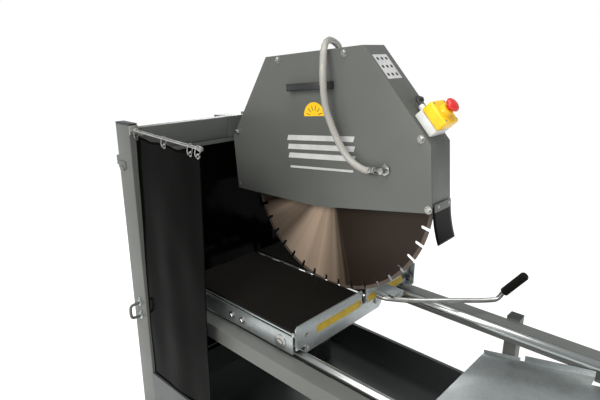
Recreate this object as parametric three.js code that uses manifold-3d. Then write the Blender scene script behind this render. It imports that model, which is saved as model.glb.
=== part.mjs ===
// Masonry saw with a rolling table, a tilting cutting head and a water basin.
// Millimetres, +Z up, floor at Z = 0. +X points at the operator, +Y to the operator's right.
import * as THREE from 'three';
import { mergeVertices } from 'three/addons/utils/BufferGeometryUtils.js';
import Module from 'manifold-3d';

const wasm = await Module();
wasm.setup();

// ---- driving dimensions ----
const GAP = 0.3;               // clearance between touching pieces
const HALF_LENGTH = 778;       // half the length of the frame, along X
const HALF_WIDTH = 382;        // half the width over the basin and the posts
const FOOT_OUT = 423;          // outer edge of the rear foot plates, level with the post handle
const FLOOR_PLATE = 6;

const BEAM = 50;               // square tube of the side beams
const BEAM_WALL = 3;
const BEAM_TOP = 720;          // upper face of the side beams
const BEAM_OUT = 330;          // outer face of the side beams, from the centre plane

const POST_X = [-742, -662];   // rear posts, 80 x 30 tube
const POST_IN = 352;
const POST_TOP = 1309;
const LEG = 40;                // square tube of the front legs
const LEG_X = [283, 283 + LEG];
const LEG_TOP = 725;

const BASIN_TOP = 427;
const BASIN_FLOOR = 290;
const SHEET = 3;

const TUBE_Y = 254.5;          // guide tubes of the rolling table
const TUBE_Z = 716;
const TUBE_R = 13.5;

const TABLE_X = [-561, -58];   // rolling table at rest, rear end and fence face
const TABLE_OUT = 284;
const SIDE_Z = [728, 783];
const DECK_Z = 790;            // upper face of the deck plates
const MAT_TOP = 798;
const SLOT_Y = [25, 47];       // blade slot of the table
const FENCE = 5;               // plate thickness of the fence
const FENCE_TOP = 810;
const FENCE_SLOT_FLOOR = 761;
const ROLLER_X = [-508, -110];
const ROLLER_Z = 751.5;

const PIVOT = [-630, 0, 1190]; // tilt axis of the cutting head, along Y
const HEAD_TILT = 5.5;         // the head stands this many degrees nose up
const BLADE_Y = 36;
const BLADE_R = 350;
const BLADE_THICK = 4;
const SEGMENTS = 40;
const SPINDLE = [430, -96];    // spindle and motor axes in the level frame of the head, X and Z
const MOTOR = [235, 110];
const GUARD_Y = [-14, 86];
const SPINDLE_PULLEY_R = 72;
const MOTOR_PULLEY_R = 40;

// ---- materials ----
function finish(color, roughness, metalness) {
  return new THREE.MeshStandardMaterial({ color, roughness, metalness });
}
const paint = finish(0x55595a, 0.5, 0.2);
const zinc = finish(0xa9adab, 0.38, 0.85);
const chrome = finish(0xcfd2d2, 0.18, 1.0);
const steel = finish(0x8f8780, 0.3, 0.95);
const blackPlastic = finish(0x161616, 0.5, 0.0);
const rubber = finish(0x1b1b1a, 0.85, 0.0);
const film = finish(0x0b0b0c, 0.12, 0.0);
const yellow = finish(0xf2b705, 0.4, 0.0);
const red = finish(0xd0211c, 0.35, 0.0);
const greyPlastic = finish(0xc9c9c6, 0.5, 0.0);
const motorPaint = finish(0x3c5a78, 0.5, 0.2);
const hosePlastic = finish(0xd9dad2, 0.3, 0.0);

// ---- geometry helpers ----
function toSolid(geometry) {
  const bare = geometry.index ? geometry.clone() : geometry;
  for (const name of ['normal', 'uv']) bare.deleteAttribute(name);
  const merged = mergeVertices(bare, 1e-4);
  return new wasm.Manifold(new wasm.Mesh({
    numProp: 3,
    vertProperties: new Float32Array(merged.attributes.position.array),
    triVerts: new Uint32Array(merged.index.array),
  }));
}

function toGeometry(solid) {
  const mesh = solid.getMesh();
  const geometry = new THREE.BufferGeometry();
  geometry.setAttribute('position', new THREE.BufferAttribute(new Float32Array(mesh.vertProperties), 3));
  geometry.setIndex(new THREE.BufferAttribute(new Uint32Array(mesh.triVerts), 1));
  return geometry;
}

function join(first, ...others) {
  let result = toSolid(first);
  for (const other of others) result = result.add(toSolid(other));
  return toGeometry(result);
}

function cut(first, ...tools) {
  let result = toSolid(first);
  for (const tool of tools) result = result.subtract(toSolid(tool));
  return toGeometry(result);
}

function block([x0, x1], [y0, y1], [z0, z1]) {
  const box = new THREE.BoxGeometry(x1 - x0, y1 - y0, z1 - z0);
  return box.translate((x0 + x1) / 2, (y0 + y1) / 2, (z0 + z1) / 2);
}

// A round bar along Y through (x, z).
function barY(radius, [y0, y1], x, z, sides = 32) {
  const bar = new THREE.CylinderGeometry(radius, radius, y1 - y0, sides);
  return bar.translate(x, (y0 + y1) / 2, z);
}

function barX(radius, [x0, x1], y, z, sides = 32) {
  const bar = new THREE.CylinderGeometry(radius, radius, x1 - x0, sides);
  return bar.rotateZ(Math.PI / 2).translate((x0 + x1) / 2, y, z);
}

function barZ(radius, [z0, z1], x, y, sides = 32) {
  const bar = new THREE.CylinderGeometry(radius, radius, z1 - z0, sides);
  return bar.rotateX(Math.PI / 2).translate(x, y, (z0 + z1) / 2);
}

// An outline in the XZ plane, made into a plate between two Y values.
function plateY(outline, [y0, y1]) {
  const isShape = outline instanceof THREE.Shape;
  const shape = isShape ? outline : new THREE.Shape(outline.map(([x, z]) => new THREE.Vector2(x, z)));
  const plate = new THREE.ExtrudeGeometry(shape, { depth: y1 - y0, bevelEnabled: false, curveSegments: 8 });
  return plate.rotateX(Math.PI / 2).translate(0, y1, 0);
}

// An outline in the YZ plane, made into a plate between two X values.
function plateX(outline, [x0, x1]) {
  const shape = new THREE.Shape(outline.map(([y, z]) => new THREE.Vector2(y, z)));
  const plate = new THREE.ExtrudeGeometry(shape, { depth: x1 - x0, bevelEnabled: false });
  return plate.rotateX(Math.PI / 2).rotateZ(Math.PI / 2).translate(x0, 0, 0);
}

// A ring turned about an axis along Y: profile points are [radius, y].
function turnedY(profile, x, z, sides = 40) {
  const points = profile.map(([r, y]) => new THREE.Vector2(r, y));
  points.push(points[0].clone());
  return new THREE.LatheGeometry(points, sides).translate(x, 0, z);
}

function rodAlong(points, radius, sides, steps) {
  const path = new THREE.CatmullRomCurve3(points.map((p) => new THREE.Vector3(...p)), false, 'centripetal');
  const section = new THREE.Shape();
  for (let i = 0; i < sides; i += 1) {
    const angle = (2 * Math.PI * i) / sides;
    const [u, v] = [radius * Math.cos(angle), radius * Math.sin(angle)];
    if (i === 0) section.moveTo(u, v);
    else section.lineTo(u, v);
  }
  return new THREE.ExtrudeGeometry(section, { steps, bevelEnabled: false, extrudePath: path });
}

function mirrorSpan([a, b]) {
  return [-b, -a];
}

function sideSpan(side, span) {
  return side > 0 ? span : mirrorSpan(span);
}

const saw = new THREE.Group();
const head = new THREE.Group();
head.position.set(...PIVOT);
head.rotation.y = -THREE.MathUtils.degToRad(HEAD_TILT);
saw.add(head);

function place(parent, name, geometry, material) {
  const mesh = new THREE.Mesh(geometry, material);
  mesh.name = name;
  parent.add(mesh);
}

// ---- frame ----
function tubeX([x0, x1], [y0, y1], [z0, z1]) {
  const bore = block([x0 - 1, x1 + 1], [y0 + BEAM_WALL, y1 - BEAM_WALL], [z0 + BEAM_WALL, z1 - BEAM_WALL]);
  return cut(block([x0, x1], [y0, y1], [z0, z1]), bore);
}

function standingTube([x0, x1], [y0, y1], top, footX, footY) {
  const wall = BEAM_WALL;
  const tube = block([x0, x1], [y0, y1], [FLOOR_PLATE - 1, top]);
  const bore = block([x0 + wall, x1 - wall], [y0 + wall, y1 - wall], [FLOOR_PLATE, top + 1]);
  return cut(join(tube, block(footX, footY, [0, FLOOR_PLATE])), bore);
}

function buildFrame() {
  const beamZ = [BEAM_TOP - BEAM, BEAM_TOP];
  const crossZ = [BEAM_TOP - BEAM, BEAM_TOP - GAP];
  for (const [side, word] of [[-1, 'left'], [1, 'right']]) {
    const beamY = sideSpan(side, [BEAM_OUT - BEAM, BEAM_OUT]);
    place(saw, `${word}_side_beam`, tubeX([POST_X[1] + GAP, HALF_LENGTH], beamY, beamZ), paint);
    const postY = sideSpan(side, [POST_IN, HALF_WIDTH]);
    const postFoot = sideSpan(side, [POST_IN - 40, FOOT_OUT]);
    const post = standingTube(POST_X, postY, POST_TOP, [-HALF_LENGTH, POST_X[1] + 30], postFoot);
    place(saw, `rear_${word}_post`, post, paint);
    const legY = sideSpan(side, [BEAM_OUT + GAP, BEAM_OUT + GAP + LEG]);
    const legFoot = sideSpan(side, [BEAM_OUT - 30, HALF_WIDTH]);
    const leg = standingTube(LEG_X, legY, LEG_TOP, [LEG_X[0] - 15, LEG_X[1] + 15], legFoot);
    place(saw, `front_${word}_leg`, leg, paint);
  }
  place(saw, 'rear_cross_beam', block(POST_X, [GAP - POST_IN, POST_IN - GAP], crossZ), paint);
  const frontX = [HALF_LENGTH - BEAM, HALF_LENGTH];
  const frontY = [BEAM - BEAM_OUT + GAP, BEAM_OUT - BEAM - GAP];
  place(saw, 'front_cross_beam', block(frontX, frontY, crossZ), paint);
  const topX = [POST_X[1] - 32, POST_X[1] - 2];
  const topZ = [POST_TOP - 90, POST_TOP - 10];
  place(saw, 'rear_top_beam_left', block(topX, [GAP - POST_IN, COLUMN_LEFT[0] - GAP], topZ), paint);
  place(saw, 'rear_top_beam_right', block(topX, [COLUMN_RIGHT[1] + GAP, POST_IN - GAP], topZ), paint);
}

// ---- head column with the two pivot cheeks ----
const COLUMN_LEFT = [6, 66];
const COLUMN_RIGHT = [136, 204];
const CHEEK = 11;
const PIVOT_BOLT_R = 12;

function buildColumn() {
  const front = POST_X[1] - 2;
  const columnX = [POST_X[0], front];
  const columnZ = [BEAM_TOP, POST_TOP - 10];
  const tie = [COLUMN_LEFT[1] - 1, COLUMN_RIGHT[0] + 1];
  const cheekOutline = new THREE.Shape();
  cheekOutline.moveTo(front - 2, PIVOT[2] - 55);
  cheekOutline.lineTo(PIVOT[0] + 10, PIVOT[2] - 28);
  cheekOutline.absarc(PIVOT[0], PIVOT[2], 30, -Math.PI / 3, Math.PI / 3, false);
  cheekOutline.lineTo(front - 2, PIVOT[2] + 55);
  const column = join(
    block(columnX, COLUMN_LEFT, columnZ),
    block(columnX, COLUMN_RIGHT, columnZ),
    block([front - 12, front], tie, [columnZ[1] - 70, columnZ[1]]),
    block([front - 12, front], tie, [BEAM_TOP, BEAM_TOP + 60]),
    plateY(cheekOutline, [COLUMN_RIGHT[0], COLUMN_RIGHT[0] + CHEEK]),
    plateY(cheekOutline, [COLUMN_RIGHT[1] - CHEEK, COLUMN_RIGHT[1]]),
  );
  const boreSpan = [COLUMN_RIGHT[0] - 1, COLUMN_RIGHT[1] + 1];
  place(saw, 'head_column', cut(column, barY(PIVOT_BOLT_R + GAP, boreSpan, PIVOT[0], PIVOT[2])), paint);
  const boltHead = [COLUMN_RIGHT[0] - 8 - GAP, COLUMN_RIGHT[0] - GAP];
  const shaft = join(
    barY(PIVOT_BOLT_R, [boltHead[0] + 1, COLUMN_RIGHT[1] + 22], PIVOT[0], PIVOT[2]),
    barY(19, boltHead, PIVOT[0], PIVOT[2], 6),
  );
  place(saw, 'pivot_shaft', shaft, zinc);
  const hubY = [COLUMN_RIGHT[1] + GAP, COLUMN_RIGHT[1] + 18];
  const lever = join(
    barY(20, hubY, PIVOT[0], PIVOT[2]),
    block([PIVOT[0] - 7, PIVOT[0] + 7], hubY, [PIVOT[2] + 5, PIVOT[2] + 110]),
    barY(11, [hubY[0] + 2, hubY[1] + 42], PIVOT[0], PIVOT[2] + 110, 20),
  );
  const leverBore = barY(PIVOT_BOLT_R + GAP, [hubY[0] - 1, hubY[1] + 1], PIVOT[0], PIVOT[2]);
  place(saw, 'head_lock_lever', cut(lever, leverBore), blackPlastic);
}

// ---- guide tubes, each on two brackets from the side beam ----
const BRACKET_X = [[-652, -612], [560, 620]];
const TUBE_X = [-655, 722];

function buildGuideTubes() {
  for (const [side, word] of [[-1, 'left'], [1, 'right']]) {
    const parts = [barX(TUBE_R, TUBE_X, side * TUBE_Y, TUBE_Z)];
    for (const span of BRACKET_X) {
      const shelf = sideSpan(side, [TUBE_Y - 14, BEAM_OUT - BEAM - GAP]);
      parts.push(block(span, shelf, [BEAM_TOP - 44, BEAM_TOP - 38]));
      parts.push(block(span, sideSpan(side, [TUBE_Y - 8, TUBE_Y + 8]), [BEAM_TOP - 40, TUBE_Z - 6]));
    }
    place(saw, `${word}_guide_tube`, join(...parts), chrome);
  }
}

// ---- basin, pump, drain plug and drip tray ----
const DRAIN = [200, -250];
const PUMP = [-430, 250];

function buildWaterSide() {
  const x = [POST_X[1] + GAP, LEG_X[0] - GAP];
  const outer = block(x, [-HALF_WIDTH, HALF_WIDTH], [BASIN_FLOOR, BASIN_TOP]);
  const innerX = [x[0] + SHEET, x[1] - SHEET];
  const innerY = [SHEET - HALF_WIDTH, HALF_WIDTH - SHEET];
  const inner = block(innerX, innerY, [BASIN_FLOOR + SHEET, BASIN_TOP + 1]);
  const drain = barZ(20 + GAP, [BASIN_FLOOR - 1, BASIN_FLOOR + SHEET + 1], ...DRAIN);
  place(saw, 'water_basin', cut(outer, inner, drain), paint);
  const plugFlange = barZ(30, [BASIN_FLOOR + SHEET + GAP, BASIN_FLOOR + SHEET + 9], ...DRAIN);
  const plug = join(barZ(20, [BASIN_FLOOR - 14, BASIN_FLOOR + SHEET + 5], ...DRAIN), plugFlange);
  place(saw, 'basin_drain_plug', plug, blackPlastic);
  const pumpFloor = BASIN_FLOOR + SHEET + GAP;
  const pump = join(
    barZ(52, [pumpFloor, pumpFloor + 95], ...PUMP),
    barZ(40, [pumpFloor + 90, pumpFloor + 118], ...PUMP),
    barZ(10, [pumpFloor + 110, pumpFloor + 140], ...PUMP, 16),
  );
  place(saw, 'water_pump', pump, blackPlastic);
  place(saw, 'drip_tray', buildTray(), zinc);
}

// The tray falls towards the basin; its side flanges step up behind a notch, and its front is
// narrower, to pass between the tube brackets.
function buildTray() {
  const rear = [245, 602];
  const slope = 0.2;
  const front = HALF_LENGTH - BEAM - 14;
  const shoulder = BRACKET_X[1][0] - 4;
  const rise = (x) => rear[1] + slope * (x - rear[0]);
  const side = BEAM_OUT - BEAM - 2;
  const narrow = TUBE_Y - TUBE_R - 5;
  const strip = (x0, x1, low, high, y) => plateY(
    [[x0, rise(x0) + low], [x1, rise(x1) + low], [x1, rise(x1) + high], [x0, rise(x0) + high]], y);
  const parts = [
    strip(rear[0], shoulder, 0, 2, [-side, side]),
    strip(shoulder - 1, front, 0, 2, [-narrow, narrow]),
  ];
  for (const sign of [-1, 1]) {
    const flange = sideSpan(sign, [side - 2, side]);
    parts.push(strip(rear[0], rear[0] + 112, 1, 12, flange));
    parts.push(strip(rear[0] + 124, shoulder, 1, 22, flange));
  }
  return join(...parts, block([front - 3, front], [-narrow, narrow], [rise(front) - 12, rise(front) + 1]));
}

// ---- splash curtains on their rod ----
const ROD_Y = -367;
const ROD_ENDS = [[POST_X[1] + 5, 1294], [-320, 1280]];        // X and Z; the rod droops towards its free end
const CURTAIN_X = [-658, -330];

function buildCurtains() {
  const [rodRoot, rodTip] = ROD_ENDS;
  const along = [rodRoot, [(rodRoot[0] + rodTip[0]) / 2, (rodRoot[1] + rodTip[1]) / 2], rodTip];
  const rod = join(
    rodAlong(along.map(([x, z]) => [x, ROD_Y, z]), 4, 16, 2),
    block([POST_X[1] + GAP, POST_X[1] + 6], [ROD_Y - 14, ROD_Y + 14], [rodRoot[1] - 14, rodRoot[1] + 14]),
    barX(7, [rodTip[0] - 4, rodTip[0] + 6], ROD_Y, rodTip[1], 16),
  );
  place(saw, 'curtain_rod', rod, zinc);
  const [top, foot] = [rodRoot[1] - 17, BASIN_TOP - 22];
  const sidePlate = plateX([[-378, foot], [-372, foot], [-359, top], [-365, top]], CURTAIN_X);
  const droop = [[CURTAIN_X[0] - 1, top], [CURTAIN_X[1] + 1, top - 14], [CURTAIN_X[1] + 1, top + 9]];
  place(saw, 'left_splash_curtain', cut(sidePlate, plateY([...droop, [CURTAIN_X[0] - 1, top + 9]], [-380, -350])), film);
  const rearX = [POST_X[1] + 4, POST_X[1] + 10];
  const rearFoot = TUBE_Z + TUBE_R + 5;
  const rearSpan = [-348, 348];
  const besideCheeks = block(rearX, [rearSpan[0], COLUMN_RIGHT[0] - 12], [rearFoot, POST_TOP - 83]);
  const belowCheeks = block(rearX, [COLUMN_RIGHT[0] - 13, COLUMN_RIGHT[1]], [rearFoot, PIVOT[2] - 70]);
  const belowSwitch = block(rearX, [COLUMN_RIGHT[1] - 1, rearSpan[1]], [rearFoot, 890]);
  const tubeInner = TUBE_Y - TUBE_R - 5;
  const betweenTubes = block(rearX, [-tubeInner, tubeInner], [TUBE_Z - TUBE_R - 6, rearFoot + 1]);
  const beamInner = BEAM_OUT - BEAM - 4;
  const belowTubes = block(rearX, [-beamInner, beamInner], [foot, TUBE_Z - TUBE_R - 5]);
  const upper = join(besideCheeks, belowCheeks, belowSwitch);
  place(saw, 'rear_splash_curtain', join(upper, betweenTubes, belowTubes), film);
}

function buildPostHandle() {
  const x = -702;
  const [low, high] = [643, 693];
  const root = -HALF_WIDTH - GAP;
  const outer = 5 - FOOT_OUT;
  const bow = rodAlong([
    [x, root, low], [x, root - 14, low], [x, outer + 4, low + 3], [x, outer, low + 10],
    [x, outer, high - 10], [x, outer + 4, high - 3], [x, root - 14, high], [x, root, high],
  ], 5, 8, 30);
  place(saw, 'post_lifting_handle', bow, zinc);
  const boxX = [POST_X[1] + 14, POST_X[1] + 94];
  const switchBox = join(
    block(boxX, [212, 320], [900, 1060]),
    barZ(22, [870, 905], (boxX[0] + boxX[1]) / 2, 266, 24),
  );
  const backPlate = block([POST_X[1] - 10, boxX[0] + 1], [204 + GAP, POST_IN - GAP], [930, 960]);
  place(saw, 'switch_box', join(switchBox, backPlate), greyPlastic);
}

// ---- rolling table ----
function buildTable() {
  const boltX = [-321, -274];
  for (const [side, word] of [[-1, 'left'], [1, 'right']]) {
    const plateSpan = sideSpan(side, [TABLE_OUT - SHEET, TABLE_OUT]);
    const parts = [block([TABLE_X[0], TABLE_X[1] - FENCE - GAP], plateSpan, SIDE_Z)];
    for (const x of ROLLER_X) {
      parts.push(barY(11, sideSpan(side, [TABLE_OUT - 1, TABLE_OUT + 5]), x, ROLLER_Z, 6));
      parts.push(barY(10, sideSpan(side, [TUBE_Y + 14, TABLE_OUT - 1]), x, ROLLER_Z, 20));
      parts.push(barY(6, sideSpan(side, [TUBE_Y - 15, TUBE_Y + 15]), x, ROLLER_Z, 20));
    }
    for (const x of boltX) {
      parts.push(barY(8, sideSpan(side, [TABLE_OUT - 1, TABLE_OUT + 5]), x, ROLLER_Z, 6));
    }
    if (side > 0) {
      parts.push(block([-118, -40], [TABLE_OUT - 1, 306], [738, 742]));
      parts.push(block([-118, -40], [306 - 1, 310], [738, 816]));
    }
    place(saw, `table_side_${word}`, join(...parts), zinc);
    const roller = [[6.3, 13], [6.3, -13], [25, -13], [25, -9]];
    for (const w of [-6, -3, 0, 3, 6]) {
      roller.push([ROLLER_Z - TUBE_Z - Math.sqrt((TUBE_R + GAP) ** 2 - w * w), w]);
    }
    roller.push([25, 9], [25, 13]);
    ROLLER_X.forEach((x, i) => {
      const wheel = turnedY(roller, x, ROLLER_Z, 24).translate(0, side * TUBE_Y, 0);
      place(saw, `roller_${i ? 'front' : 'rear'}_${word}`, wheel, blackPlastic);
    });
  }
  place(saw, 'table_deck', buildDeck(), zinc);
  const matX = [TABLE_X[0], TABLE_X[1] - FENCE - GAP];
  const matZ = [DECK_Z + GAP, MAT_TOP];
  place(saw, 'mat_left', block(matX, [SHEET - TABLE_OUT + 3, SLOT_Y[0]], matZ), rubber);
  place(saw, 'mat_right', block(matX, [SLOT_Y[1], TABLE_OUT - SHEET - 3], matZ), rubber);
  place(saw, 'fence', buildFence(), zinc);
}

// Two deck plates joined by cross bars that lie below the blade.
function buildDeck() {
  const inside = TABLE_OUT - SHEET - GAP;
  const deckX = [TABLE_X[0], TABLE_X[1] - FENCE - GAP];
  const parts = [
    block(deckX, [-inside, SLOT_Y[0]], [DECK_Z - 4, DECK_Z]),
    block(deckX, [SLOT_Y[1], inside], [DECK_Z - 4, DECK_Z]),
  ];
  for (const x of [TABLE_X[0] + 4, -321, deckX[1] - 28]) {
    parts.push(block([x, x + 28], [-235, 235], [735, 758]));
    for (const y of [-235, SLOT_Y[0] - 26, SLOT_Y[1], 209]) {
      parts.push(block([x, x + 4], [y, y + 26], [757, DECK_Z - 3]));
    }
  }
  return join(...parts);
}

// The fence bridges both deck plates and clears the guide tubes and the blade.
function buildFence() {
  const face = [TABLE_X[1] - FENCE, TABLE_X[1]];
  const low = 714;
  const arm = 752;
  const outline = [
    [-276, low + 24], [-276, FENCE_TOP - 8], [-268, FENCE_TOP], [SLOT_Y[0], FENCE_TOP],
    [SLOT_Y[0], FENCE_SLOT_FLOOR], [SLOT_Y[1], FENCE_SLOT_FLOOR], [SLOT_Y[1], FENCE_TOP], [300, FENCE_TOP],
    [300, arm], [146, arm], [134, low + 12], [122, low], [-234, low], [-240, low + 24],
  ];
  return plateX(outline, face);
}

const HANDLE_Z = 765;

function buildPushHandle() {
  const start = TABLE_X[1] + GAP;
  const plate = join(
    block([start, start + 4], [96, 168], [738, 782]),
    block([start + 3, start + 62], [112, 168], [778, 782]),
    block([start + 58, start + 62], [112, 168], [762, 782]),
  );
  const bar = rodAlong([
    [start + 2, 104, HANDLE_Z], [start + 32, 106, HANDLE_Z], [-6, 116, HANDLE_Z],
    [43, 148, HANDLE_Z], [140, 239, HANDLE_Z], [225, 322, HANDLE_Z], [240, 336, HANDLE_Z + 3],
    [248, 342, HANDLE_Z + 12], [254, 343, HANDLE_Z + 24], [259, 343, HANDLE_Z + 31],
  ], 8, 10, 34);
  place(saw, 'push_handle', join(plate, bar), zinc);
  const gripStart = new THREE.Vector3(259.6, 343, HANDLE_Z + 31.8);
  const gripEnd = new THREE.Vector3(318, 343, 875);
  const along = gripEnd.clone().sub(gripStart);
  const grip = new THREE.CylinderGeometry(14, 14, along.length(), 24);
  const direction = along.clone().normalize();
  grip.applyQuaternion(new THREE.Quaternion().setFromUnitVectors(new THREE.Vector3(0, 1, 0), direction));
  const middle = gripStart.clone().addScaledVector(along, 0.5);
  place(saw, 'handle_grip', grip.translate(middle.x, middle.y, middle.z), rubber);
  const knob = join(
    barX(12.5, [TABLE_X[1] + 5, TABLE_X[1] + 20], 282, 771, 24),
    barX(6, [TABLE_X[1] + GAP, TABLE_X[1] + 6], 282, 771, 16),
  );
  place(saw, 'fence_knob', knob, blackPlastic);
}

// ---- cutting head, drawn level about its tilt axis ----
const GUARD_OUTLINE = [[26, -141], [26, 45], [223, 298], [601, 298], [798, 38], [798, -141], [401, -168]];

function insetOutline(outline, wall) {
  const share = 1 / outline.length;
  const centre = outline.reduce((sum, [x, z]) => [sum[0] + x * share, sum[1] + z * share], [0, 0]);
  return outline.map(([x, z], i) => {
    const before = outline[(i + outline.length - 1) % outline.length];
    const after = outline[(i + 1) % outline.length];
    const normal = ([x0, z0], [x1, z1]) => {
      const length = Math.hypot(x1 - x0, z1 - z0);
      const n = [(z1 - z0) / length, -(x1 - x0) / length];
      return n[0] * (centre[0] - x0) + n[1] * (centre[1] - z0) > 0 ? n : [-n[0], -n[1]];
    };
    const a = normal(before, [x, z]);
    const b = normal([x, z], after);
    const scale = wall / (1 + a[0] * b[0] + a[1] * b[1]);
    return [x + (a[0] + b[0]) * scale, z + (a[1] + b[1]) * scale];
  });
}

function buildGuard() {
  const body = plateY(GUARD_OUTLINE, [GUARD_Y[0] + SHEET + GAP, GUARD_Y[1]]);
  const inner = insetOutline(GUARD_OUTLINE, SHEET);
  const open = inner.map(([x, z], i) => (i === 0 || i >= 5 ? [x, z - 20] : [x, z]));
  const hollow = plateY(open, [GUARD_Y[0] - 1, GUARD_Y[1] - SHEET]);
  const spindleHole = barY(30, [GUARD_Y[1] - SHEET - 1, GUARD_Y[1] + 1], ...SPINDLE);
  place(head, 'guard_body', cut(body, hollow, spindleHole), paint);
  const cover = plateY(GUARD_OUTLINE, [GUARD_Y[0], GUARD_Y[0] + SHEET]);
  place(head, 'guard_side_cover', cover, paint);
  const handleFace = GUARD_Y[0] - GAP;
  const handleOutline = [[320, 0], [495, 0], [495, -8], [482, -30], [333, -30], [320, -8]];
  const handleShape = new THREE.Shape(handleOutline.map(([x, y]) => new THREE.Vector2(x, y + handleFace)));
  const bow = new THREE.ExtrudeGeometry(handleShape, { depth: 22, bevelEnabled: false });
  bow.translate(0, 0, 189);
  const fingers = block([346, 469], [handleFace - 20, handleFace + 1], [188, 212]);
  place(head, 'guard_handle', cut(bow, fingers), blackPlastic);
  const flap = block([796, 801], [GUARD_Y[0] + 6, GUARD_Y[1] - 4], [-226, -141 - GAP]);
  place(head, 'front_flap', flap, rubber);
}

function buildEmergencyStop() {
  // A box on the slanted front face: u runs down the slant, v across it, w stands off it.
  const [topX, topZ] = GUARD_OUTLINE[3];
  const [footX, footZ] = GUARD_OUTLINE[4];
  const down = new THREE.Vector3(footX - topX, 0, footZ - topZ).normalize();
  const out = new THREE.Vector3(-down.z, 0, down.x);
  const frame = new THREE.Matrix4().makeBasis(down, new THREE.Vector3(0, 1, 0), out);
  frame.setPosition(footX, 0, footZ);
  const y = [GUARD_Y[0] + 12, GUARD_Y[0] + 82];
  const u = [-90, -20];
  const centre = [(u[0] + u[1]) / 2, (y[0] + y[1]) / 2];
  const base = block(u, y, [GAP, 26]);
  place(head, 'estop_base', base.applyMatrix4(frame), greyPlastic);
  const collar = barZ(16, [59, 72], ...centre, 28);
  const bore = barZ(8 + GAP, [50, 73], ...centre, 20);
  const cover = cut(join(block(u, y, [26 + GAP, 60]), collar), bore);
  place(head, 'estop_cover', cover.applyMatrix4(frame), yellow);
  const button = join(barZ(8, [56, 82], ...centre, 20), barZ(20, [80, 93], ...centre, 28));
  place(head, 'estop_button', button.applyMatrix4(frame), red);
}

const ARM_Y = [150, 190];
const PULLEY_Y = [96, 126];
const BELT_GAP = 0.8;          // more than the sagitta of the belt's facets

function buildArm() {
  const outline = [[-14, -24], [-14, 24], [0, 28], [60, 28], [130, 2], [350, 2], [470, -60], [478, -110],
    [430, -150], [250, -112], [60, -40], [0, -28]];
  const arm = join(
    plateY(outline, ARM_Y),
    barY(28, ARM_Y, 0, 0),
    barY(55, ARM_Y, ...SPINDLE),
    block([142, 330], [146, 372], [-6, 2]),
  );
  const bores = [barY(PIVOT_BOLT_R + GAP, [ARM_Y[0] - 1, ARM_Y[1] + 1], 0, 0),
    barY(40 + GAP, [ARM_Y[0] - 1, ARM_Y[1] + 1], ...SPINDLE)];
  place(head, 'head_arm', cut(arm, ...bores), paint);
  const housing = cut(
    join(barY(40, [138, 202], ...SPINDLE, 40), barY(52, [ARM_Y[1] + GAP, 202], ...SPINDLE, 40)),
    barY(30, [137, 203], ...SPINDLE, 36));
  place(head, 'spindle_housing', housing, steel);
  for (const [name, y] of [['spindle_bearing_inner', [141, 157]], ['spindle_bearing_outer', [183, 199]]]) {
    const ring = [[17.5 + GAP, y[0]], [30 - GAP, y[0]], [30 - GAP, y[1]], [17.5 + GAP, y[1]]];
    place(head, name, turnedY(ring, ...SPINDLE, 36), steel);
  }
}

function buildDrive() {
  const [mx, mz] = MOTOR;
  const motor = join(
    barY(98, [150, 350], mx, mz, 36),
    barY(92, [349, 376], mx, mz, 40),
    barY(60, [140, 151], mx, mz, 32),
    block([mx - 80, mx + 80], [165, 335], [2 + GAP, mz - 60]),
    block([mx + 60, mx + 122], [200, 300], [mz - 40, mz + 50]),
  );
  place(head, 'motor', motor, motorPaint);
  const shaft = join(barY(14, [92, 139], mx, mz, 24), barY(MOTOR_PULLEY_R, PULLEY_Y, mx, mz, 36));
  place(head, 'motor_pulley', shaft, steel);
  const bore = barY(17.5 + GAP, [PULLEY_Y[0] - 1, PULLEY_Y[1] + 1], ...SPINDLE, 24);
  place(head, 'spindle_pulley', cut(barY(SPINDLE_PULLEY_R, PULLEY_Y, ...SPINDLE, 44), bore), steel);
  const beltOuter = pulleyLoop(SPINDLE_PULLEY_R + 8, MOTOR_PULLEY_R + 8);
  const beltInner = pulleyLoop(SPINDLE_PULLEY_R + BELT_GAP, MOTOR_PULLEY_R + BELT_GAP);
  const beltSpan = [PULLEY_Y[0] + 3, PULLEY_Y[1] - 3];
  const belt = cut(plateY(beltOuter, beltSpan), plateY(beltInner, [beltSpan[0] - 1, beltSpan[1] + 1]));
  place(head, 'drive_belt', belt, rubber);
  const coverOuter = plateY(pulleyLoop(96, 66), [GUARD_Y[1] + GAP, PULLEY_Y[1] + 7]);
  const coverInner = plateY(pulleyLoop(93, 63), [GUARD_Y[1] - 1, PULLEY_Y[1] + 4]);
  const holeSpan = [PULLEY_Y[1], PULLEY_Y[1] + 8];
  const holes = [barY(24, holeSpan, ...SPINDLE), barY(24, holeSpan, mx, mz)];
  place(head, 'belt_cover', cut(coverOuter, coverInner, ...holes), paint);
}

// The outline of a loop round the spindle and the motor, for two radii.
function pulleyLoop(spindleR, motorR) {
  const [sx, sz] = SPINDLE;
  const [mx, mz] = MOTOR;
  const axis = Math.atan2(mz - sz, mx - sx);
  const spread = Math.acos((spindleR - motorR) / Math.hypot(mx - sx, mz - sz));
  const shape = new THREE.Shape();
  shape.absarc(sx, sz, spindleR, axis + spread, axis - spread + 2 * Math.PI, false);
  shape.absarc(mx, mz, motorR, axis - spread, axis + spread, false);
  return shape;
}

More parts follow.
